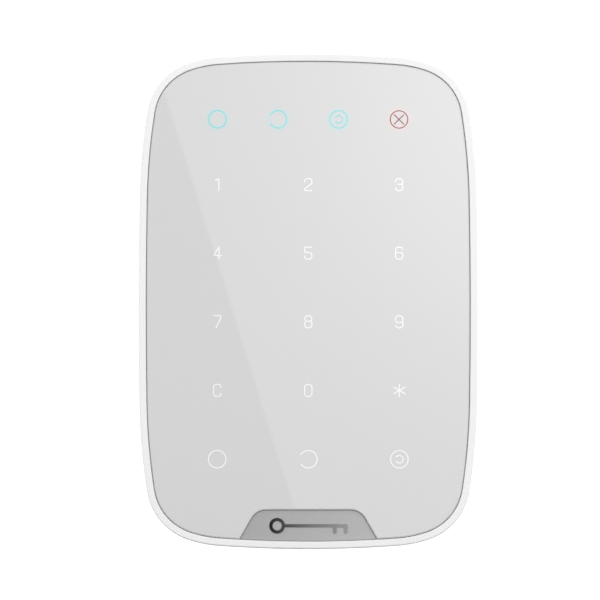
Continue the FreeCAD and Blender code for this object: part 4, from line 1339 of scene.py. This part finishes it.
class KEYPAD_OT_badge(bpy.types.Operator):
    """Make the badge's raised key and finish its plate"""

    bl_idname = "keypad.badge"
    bl_label = "Badge"

    def execute(self, context):
        badge = context.scene.keypad_badge
        low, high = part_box("badge_emblem")
        middle = (low + high) / 2
        height = high.y - low.y
        half = badge.key_stroke / 2
        reach = badge.key_length / 2
        bow = Vector((-reach + badge.bow_radius + half, 0))
        tip = Vector((reach - half, 0))
        tooth_half = half * 1.15
        tooth_gap = 3.3 * MM
        tooth_end = -(high.z - low.z) / 2 + half * 1.2
        cage = bmesh.new()
        add_ribbon(cage, arc_path(badge.bow_radius, 0.0, 2 * math.pi, bow)[:-1], True, half, 0.0)
        add_ribbon(cage, [bow + Vector((badge.bow_radius, 0)), tip], False, half, STROKE_STEP)
        for k in range(2):
            root = tip - Vector((tooth_gap * k, 0))
            tooth = [root, Vector((root.x, tooth_end))]
            add_ribbon(cage, tooth, False, tooth_half, (2 + k) * STROKE_STEP)
        piece = cage_object("badge_key", cage, Vector((middle.x, BADGE_FACE - height, middle.z)))
        thicken(piece, height, 0.05 * MM)
        finish = colour_run_and_painted_shade_inlay(
            "badge_key_gloss", badge.dark, badge.light, low.x, high.x, roughness=0.25, shine=0.15
        )
        finish_piece(piece, finish)
        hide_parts("badge_emblem")
        low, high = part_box("badge_plate")
        # Painted shade and highlight: the plate's grey is painted at 0.93 of its brightness at the left and
        # 1.12 at the right, as if lit from the right
        dark = [c * 0.93 for c in badge.plate[:3]] + [1.0]
        light = [c * 1.12 for c in badge.plate[:3]] + [1.0]
        satin = colour_run_and_painted_shade_inlay("badge_satin_grey_painted_shade", dark, light, low.x, high.x, roughness=0.32, shine=0.5)
        paint(satin, "badge_plate")
        return {"FINISHED"}


class KEYPAD_OT_case(bpy.types.Operator):
    """Finish the case halves, the bracket and the controls that reach through them"""

    bl_idname = "keypad.case"
    bl_label = "Case and bracket"

    def execute(self, context):
        case = context.scene.keypad_case
        shell = moulded_plastic(
            "shell_white_satin", case.shell, roughness=0.42, grain=case.grain, depth=0.012 * MM,
            mottle=0.012,
        )
        paint(shell, "front_housing", "rear_housing")
        bracket = moulded_plastic(
            "bracket_white", case.bracket, roughness=0.5, grain=case.grain * 0.7, depth=0.03 * MM
        )
        paint(bracket, "wall_bracket")
        control = moulded_plastic(
            "control_light_grey", (0.62, 0.62, 0.61, 1.0), roughness=0.35, grain=4200.0, depth=0.008 * MM
        )
        paint(control, "power_button", "power_switch_stem", "tamper_plunger")
        paper, ink = (0.72, 0.73, 0.73, 1.0), (0.08, 0.08, 0.09, 1.0)
        paint(label_stock("label_white", paper, ink, *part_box("rating_label")), "rating_label")
        zinc = plated_metal("screw_zinc", (0.60, 0.60, 0.61, 1.0), roughness=0.3)
        paint(zinc, "case_screws", "board_screws", "lock_screw")
        return {"FINISHED"}


# ---------------------------------------------------------------- insides
def turned_cell(name, cells, low, high, way):
    """A cell turned from its profile: crimped sleeve, sunk flat end and raised contact, along Z."""
    radius = (high.x - low.x) / 2
    length = high.z - low.z
    nub = cells.nub_radius
    crimp = radius - cells.crimp  # inner edge of the crimped sleeve
    roll = radius - 0.4 * MM  # where the sleeve starts to roll over the end
    sunk = 0.25 * MM  # depth of the end plates inside the crimp
    shoulder = length - 1.0 * MM
    profile = [
        (0.0, length), (nub * 0.8, length), (nub, length - 0.2 * MM), (nub, shoulder), (crimp, shoulder),
        (crimp, shoulder + sunk), (roll, shoulder + sunk), (radius, shoulder - 0.2 * MM),
        (radius, 0.5 * MM), (roll, 0.0), (crimp, 0.0), (crimp, sunk), (0.0, sunk),
    ]
    mesh = bpy.data.meshes.new(name)
    edges = [(i, i + 1) for i in range(len(profile) - 1)]
    mesh.from_pydata([(r, 0.0, z) for r, z in profile], edges, [])
    piece = bpy.data.objects.new(name, mesh)
    bpy.context.scene.collection.objects.link(piece)
    turn = piece.modifiers.new("Turn", "SCREW")
    turn.steps = turn.render_steps = cells.steps
    turn.use_merge_vertices = True
    turn.merge_threshold = 0.01 * MM
    turn.use_smooth_shade = True
    ease = piece.modifiers.new("Rolled edges", "BEVEL")
    ease.width = 0.12 * MM
    ease.segments = 2
    ease.limit_method = "ANGLE"
    place = Matrix.Translation(((low.x + high.x) / 2, (low.y + high.y) / 2, low.z if way > 0 else high.z))
    return apply_stack(piece, place @ Matrix.Rotation(0.0 if way > 0 else math.pi, 4, "X"))


class KEYPAD_OT_cells(bpy.types.Operator):
    """Make the four battery cells, two end to end in each side bay"""

    bl_idname = "keypad.cells"
    bl_label = "Battery cells"

    def execute(self, context):
        cells = context.scene.keypad_cells
        lacquer, copper, plate = (0.03, 0.035, 0.045, 1.0), (0.55, 0.30, 0.06, 1.0), (0.72, 0.72, 0.72, 1.0)
        for number in range(1, 5):
            node = f"battery_cell_{number}"
            low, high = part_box(node)
            way = 1 if low.x > 0 else -1  # the raised end is up on the right and down on the left
            piece = turned_cell(f"cell_{number}", cells, low, high, way)
            start = low.z if way > 0 else high.z
            sleeve = f"cell_{number}_sleeve"
            finish = cell_sleeve(sleeve, lacquer, copper, plate, start, way, high.z - low.z)
            finish_piece(piece, finish)
            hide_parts(node)
        return {"FINISHED"}


class KEYPAD_OT_tamper_coil(bpy.types.Operator):
    """Make the tamper plunger's coil spring at one fixed length; it is not made to stretch as the plunger
    comes out
    """

    bl_idname = "keypad.tamper_coil"
    bl_label = "Tamper coil"

    def execute(self, context):
        low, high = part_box("tamper_spring")
        middle = (low + high) / 2
        wire = 0.16 * MM
        turns = 3
        sides = 10
        radius = (high.x - low.x) / 2 - wire
        angles = [2 * math.pi * k / sides for k in range(sides)]
        ring = [(radius + wire * math.cos(a), 0.0, wire * math.sin(a)) for a in angles]
        mesh = bpy.data.meshes.new("tamper_coil")
        mesh.from_pydata(ring, [(k, (k + 1) % sides) for k in range(sides)], [])
        piece = bpy.data.objects.new("tamper_coil", mesh)
        context.scene.collection.objects.link(piece)
        wind = piece.modifiers.new("Wind", "SCREW")
        wind.screw_offset = (high.y - low.y - 2 * wire) / turns
        wind.iterations = turns
        wind.steps = wind.render_steps = 40
        wind.use_smooth_shade = True
        start = Matrix.Translation((middle.x, low.y + wire, middle.z))
        apply_stack(piece, start @ Matrix.Rotation(math.radians(-90.0), 4, "X"))
        cage = bmesh.new()
        cage.from_mesh(piece.data)
        bmesh.ops.holes_fill(cage, edges=[e for e in cage.edges if e.is_boundary])
        bmesh.ops.recalc_face_normals(cage, faces=cage.faces)
        cage.to_mesh(piece.data)
        cage.free()
        finish = plated_metal("coil_wire", (0.70, 0.69, 0.66, 1.0), roughness=0.25)
        finish_piece(piece, finish, None)
        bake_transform(piece)
        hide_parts("tamper_spring")
        return {"FINISHED"}


class KEYPAD_OT_electronics(bpy.types.Operator):
    """Finish the board, its components, the light baffle and the battery contacts"""

    bl_idname = "keypad.electronics"
    bl_label = "Electronics"

    def execute(self, context):
        legends = context.scene.keypad_legends
        board = circuit_laminate("board_green", (0.012, 0.075, 0.035, 1.0), (0.05, 0.20, 0.085, 1.0))
        paint(board, "main_board", "radio_module")
        epoxy = moulded_plastic(
            "chip_black_epoxy", (0.022, 0.022, 0.024, 1.0), roughness=0.5, grain=9000.0, depth=0.01 * MM,
            mottle=0.15,
        )
        paint(epoxy, "controller_chip", "touch_chip", "sounder", "tamper_switch", "power_switch")
        tin = plated_metal("tin_plate", (0.66, 0.66, 0.66, 1.0), roughness=0.3, grain=(1.0, 1.0, 0.1))
        paint(tin, "radio_shield", "antenna_upper", "antenna_lower", "crystal", "reservoir_capacitors")
        nickel = plated_metal("contact_nickel", (0.70, 0.67, 0.60, 1.0), roughness=0.22)
        paint(nickel, "battery_springs", "battery_plates")
        ceramic = moulded_plastic(
            "component_ceramic", (0.36, 0.27, 0.19, 1.0), roughness=0.55, grain=9000.0, depth=0.006 * MM,
            mottle=0.25,
        )
        paint(ceramic, "board_parts")
        ivory = moulded_plastic(
            "connector_ivory", (0.76, 0.72, 0.60, 1.0), roughness=0.45, grain=5000.0, depth=0.006 * MM
        )
        paint(ivory, "film_connector")
        baffle = moulded_plastic(
            "baffle_white", (0.80, 0.80, 0.78, 1.0), roughness=0.6, grain=3600.0, depth=0.015 * MM
        )
        paint(baffle, "light_baffle")
        window = lit_window("window_milky", legends.white, brightness=0.05, clear=0.3)
        paint(window, "key_diffusers", "indicator_diffusers")
        phosphor = lit_window("led_phosphor", (0.90, 0.82, 0.45, 1.0), brightness=0.4, clear=0.1)
        paint(phosphor, "key_leds", "indicator_leds")
        return {"FINISHED"}


# ---------------------------------------------------------------- stage
def pale_floor(name, colour):
    """Plain pale floor with a barely visible cloudiness."""
    material = bpy.data.materials.new(name)
    material.use_nodes = True
    nodes, links = material.node_tree.nodes, material.node_tree.links
    nodes.clear()

    place = nodes.new("ShaderNodeTexCoord")
    place.label = "Place on the floor"
    cloud = nodes.new("ShaderNodeTexNoise")
    cloud.label = "Cloudiness"
    cloud.inputs["Scale"].default_value = 3.0
    tone = nodes.new("ShaderNodeMix")
    tone.label = "Pale tone"
    tone.data_type = "RGBA"
    tone.inputs["A"].default_value = [c * 0.98 for c in colour[:3]] + [1.0]
    tone.inputs["B"].default_value = colour
    paper = nodes.new("ShaderNodeBsdfPrincipled")
    paper.label = "Floor"
    paper.inputs["Roughness"].default_value = 0.9
    surface = nodes.new("ShaderNodeOutputMaterial")
    surface.label = "Finished floor"
    for node, x in ((place, -900), (cloud, -700), (tone, -400), (paper, -100), (surface, 250)):
        node.location = (x, 0)

    links.new(place.outputs["Object"], cloud.inputs["Vector"])
    links.new(cloud.outputs["Fac"], tone.inputs["Factor"])
    links.new(tone.outputs["Result"], paper.inputs["Base Color"])
    links.new(paper.outputs["BSDF"], surface.inputs["Surface"])
    return material


def studio_sky(front, behind, below):
    """Room light: white behind the keypad and at its sides, a little dimmer in front and dim from below."""
    world = bpy.data.worlds.new("Studio")
    world.use_nodes = True
    nodes, links = world.node_tree.nodes, world.node_tree.links
    nodes.clear()
    place = nodes.new("ShaderNodeTexCoord")
    place.label = "Direction"
    axes = nodes.new("ShaderNodeSeparateXYZ")
    axes.label = "How far back and up"
    turn = nodes.new("ShaderNodeMapRange")
    turn.label = "From the room in front to the backdrop"
    turn.interpolation_type = "SMOOTHSTEP"
    turn.inputs["From Min"].default_value = -0.75
    turn.inputs["From Max"].default_value = 0.25
    turn.inputs["To Min"].default_value = front
    turn.inputs["To Max"].default_value = behind
    rise = nodes.new("ShaderNodeMapRange")
    rise.label = "From the floor to the horizon"
    rise.interpolation_type = "SMOOTHSTEP"
    rise.inputs["From Min"].default_value = -0.5
    rise.inputs["From Max"].default_value = -0.03
    rise.inputs["To Min"].default_value = below
    rise.inputs["To Max"].default_value = 1.0
    glow = nodes.new("ShaderNodeMath")
    glow.label = "Dimmed from below"
    glow.operation = "MULTIPLY"
    light = nodes.new("ShaderNodeBackground")
    light.label = "Room light"
    light.inputs["Color"].default_value = (1.0, 1.0, 1.0, 1.0)
    output = nodes.new("ShaderNodeOutputWorld")
    output.label = "Studio"
    for node, x, y in (
        (place, -900, 0), (axes, -700, 0), (turn, -500, 150), (rise, -500, -150), (glow, -250, 0),
        (light, 0, 0), (output, 200, 0),
    ):
        node.location = (x, y)
    links.new(place.outputs["Generated"], axes.inputs["Vector"])
    links.new(axes.outputs["Y"], turn.inputs["Value"])
    links.new(axes.outputs["Z"], rise.inputs["Value"])
    links.new(turn.outputs["Result"], glow.inputs[0])
    links.new(rise.outputs["Result"], glow.inputs[1])
    links.new(glow.outputs["Value"], light.inputs["Strength"])
    links.new(light.outputs["Background"], output.inputs["Surface"])
    return world


def softbox_cloth(name, edge, middle, hot, reach):
    """Glowing cloth of the softbox, brightest round its lamp."""
    material = bpy.data.materials.new(name)
    material.use_nodes = True
    nodes, links = material.node_tree.nodes, material.node_tree.links
    nodes.clear()
    place = nodes.new("ShaderNodeTexCoord")
    place.label = "Place on the cloth"
    away = nodes.new("ShaderNodeVectorMath")
    away.label = "Distance from the lamp"
    away.operation = "DISTANCE"
    away.inputs[1].default_value = hot
    fall = nodes.new("ShaderNodeMapRange")
    fall.label = "Dimmer away from the lamp"
    fall.interpolation_type = "SMOOTHSTEP"
    fall.inputs["From Max"].default_value = reach
    fall.inputs["To Min"].default_value = middle
    fall.inputs["To Max"].default_value = edge
    cloth = nodes.new("ShaderNodeEmission")
    cloth.label = "Glowing cloth"
    surface = nodes.new("ShaderNodeOutputMaterial")
    surface.label = "Softbox"
    for node, x in ((place, -900), (away, -650), (fall, -400), (cloth, -100), (surface, 150)):
        node.location = (x, 0)
    links.new(place.outputs["Object"], away.inputs[0])
    links.new(away.outputs["Value"], fall.inputs["Value"])
    links.new(fall.outputs["Result"], cloth.inputs["Strength"])
    links.new(cloth.outputs["Emission"], surface.inputs["Surface"])
    return material


def area_light(name, place, aim, width, height, watts):
    """A soft rectangular light at place, turned to aim."""
    light = bpy.data.lights.new(name, "AREA")
    light.shape = "RECTANGLE"
    light.size = width
    light.size_y = height
    light.energy = watts
    holder = bpy.data.objects.new(name, light)
    turn = (aim - place).to_track_quat("-Z", "Y").to_matrix().to_4x4()
    holder.matrix_world = Matrix.Translation(place) @ turn
    bpy.context.scene.collection.objects.link(holder)


def level_sheet(name, half_width, half_depth, place, cells, material):
    """Adds a flat matt rectangle to the stage."""
    cage = bmesh.new()
    stretch = Matrix.Diagonal((half_width, half_depth, 1.0, 1.0))
    bmesh.ops.create_grid(cage, x_segments=cells[0], y_segments=cells[1], size=1.0, matrix=stretch)
    sheet = cage_object(name, cage, place)
    sheet.data.materials.append(material)
    return sheet


class KEYPAD_OT_stage(bpy.types.Operator):
    """Set the camera, the floor and the soft studio lights"""

    bl_idname = "keypad.stage"
    bl_label = "Stage"

    def execute(self, context):
        stage = context.scene.keypad_stage

        # Camera: a long lens, a little below the keypad and to its left
        aim = Vector((-2.52 * MM, PANEL_FACE, 0.2 * MM))
        level = math.cos(stage.below)
        left, ahead = math.sin(stage.left) * level, math.cos(stage.left) * level
        away = Vector((-left, -ahead, -math.sin(stage.below)))
        camera = bpy.data.cameras.new("Camera")
        camera.sensor_width = 36.0
        camera.lens = camera.sensor_width * stage.distance / stage.view_width
        camera.clip_start = 0.05
        holder = bpy.data.objects.new("Camera", camera)
        holder.location = aim + away * stage.distance
        holder.rotation_euler = (-away).to_track_quat("-Z", "Y").to_euler()
        context.scene.collection.objects.link(holder)
        bpy.context.scene.camera = holder

        pale = pale_floor("floor_pale", (0.52, 0.52, 0.52, 1.0))
        level_sheet("floor", 1.3, 1.3, Vector((0, 0, stage.floor_height)), (8, 8), pale)

        # A small dark card close under the keypad keeps its underside in shade
        grey = pale_floor("card_grey", (0.15, 0.15, 0.15, 1.0))
        under = Vector((0, 5.0 * MM, CAD_BOX[0].z - 12.0 * MM))
        card = level_sheet("shade_card", 55.0 * MM, 25.0 * MM, under, (4, 2), grey)
        card.visible_camera = card.visible_shadow = False

        # The softbox stands behind the camera, where the panel mirrors its left edge as a slanting line
        back = 2.6  # from the wall
        half_length, width = 1.2, 1.3
        spread = (back + PANEL_FACE) / (PANEL_FACE - holder.location.y)

        def mirrored(x, z):
            """The place at the softbox that the camera sees at (x, z) on the panel."""
            across, up = x - holder.location.x, z - holder.location.z
            return Vector((x + across * spread, -back, z + up * spread))

        upper, lower = mirrored(-44.0 * MM, 64.5 * MM), mirrored(-5.3 * MM, -59.5 * MM)
        middle = (upper + lower) / 2
        along = (upper - lower).normalized() * half_length
        inward = Vector((along.z, 0, -along.x)).normalized() * width
        cage = bmesh.new()
        corners = [middle - along, middle - along + inward, middle + along + inward, middle + along]
        cage.faces.new([cage.verts.new(corner) for corner in corners])
        bmesh.ops.subdivide_edges(cage, edges=cage.edges, cuts=5, use_grid_fill=True)
        bmesh.ops.reverse_faces(cage, faces=[f for f in cage.faces if f.normal.y < 0])
        softbox = cage_object("softbox", cage)
        lamp = Vector((0.30, -back, 0.33))
        cloth = softbox_cloth(
            "softbox_cloth", stage.softbox_edge, stage.softbox_middle, hot=lamp, reach=0.4
        )
        softbox.data.materials.append(cloth)
        softbox.visible_camera = False

        # A near light on the right shades the panel from right to left
        beside = Vector((0.42, -0.42, 0.22))
        area_light("side_light", beside, aim=Vector(), width=0.25, height=0.35, watts=stage.side_power)
        context.scene.world = studio_sky(front=1.03, behind=1.2, below=0.35)
        context.scene.view_settings.view_transform = "Standard"
        return {"FINISHED"}


# ---------------------------------------------------------------- sidebar and run
OPERATORS = (
    KEYPAD_OT_stage, KEYPAD_OT_touch_panel, KEYPAD_OT_key_legends, KEYPAD_OT_indicators, KEYPAD_OT_badge,
    KEYPAD_OT_case, KEYPAD_OT_cells, KEYPAD_OT_tamper_coil, KEYPAD_OT_electronics,
)
SETTINGS = {
    "keypad_legends": KeypadLegendSettings,
    "keypad_panel": KeypadPanelSettings,
    "keypad_badge": KeypadBadgeSettings,
    "keypad_case": KeypadCaseSettings,
    "keypad_cells": KeypadCellSettings,
    "keypad_stage": KeypadStageSettings,
}


class KEYPAD_PT_build(bpy.types.Panel):
    """Lists the keypad's settings and the operators that make it"""

    bl_label = "Alarm keypad"
    bl_idname = "KEYPAD_PT_build"
    bl_space_type = "VIEW_3D"
    bl_region_type = "UI"
    bl_category = "Keypad"

    def draw(self, context):
        for operator in OPERATORS:
            self.layout.operator(operator.bl_idname)
        for name, group in SETTINGS.items():
            box = self.layout.box()
            box.label(text=group.__doc__)
            for setting in group.__annotations__:
                box.prop(getattr(context.scene, name), setting)


def register():
    for name, group in SETTINGS.items():
        bpy.utils.register_class(group)
        setattr(bpy.types.Scene, name, PointerProperty(type=group))
    for item in (*OPERATORS, KEYPAD_PT_build):
        bpy.utils.register_class(item)


def unregister():
    for item in reversed((*OPERATORS, KEYPAD_PT_build)):
        bpy.utils.unregister_class(item)
    for name, group in SETTINGS.items():
        delattr(bpy.types.Scene, name)
        bpy.utils.unregister_class(group)


def main():
    register()
    bpy.ops.keypad.stage()
    bpy.ops.keypad.touch_panel()
    bpy.ops.keypad.key_legends()
    bpy.ops.keypad.indicators()
    bpy.ops.keypad.badge()
    bpy.ops.keypad.case()
    bpy.ops.keypad.cells()
    bpy.ops.keypad.tamper_coil()
    bpy.ops.keypad.electronics()
    bpy.context.view_layer.update()


if __name__ == "__main__":
    main()
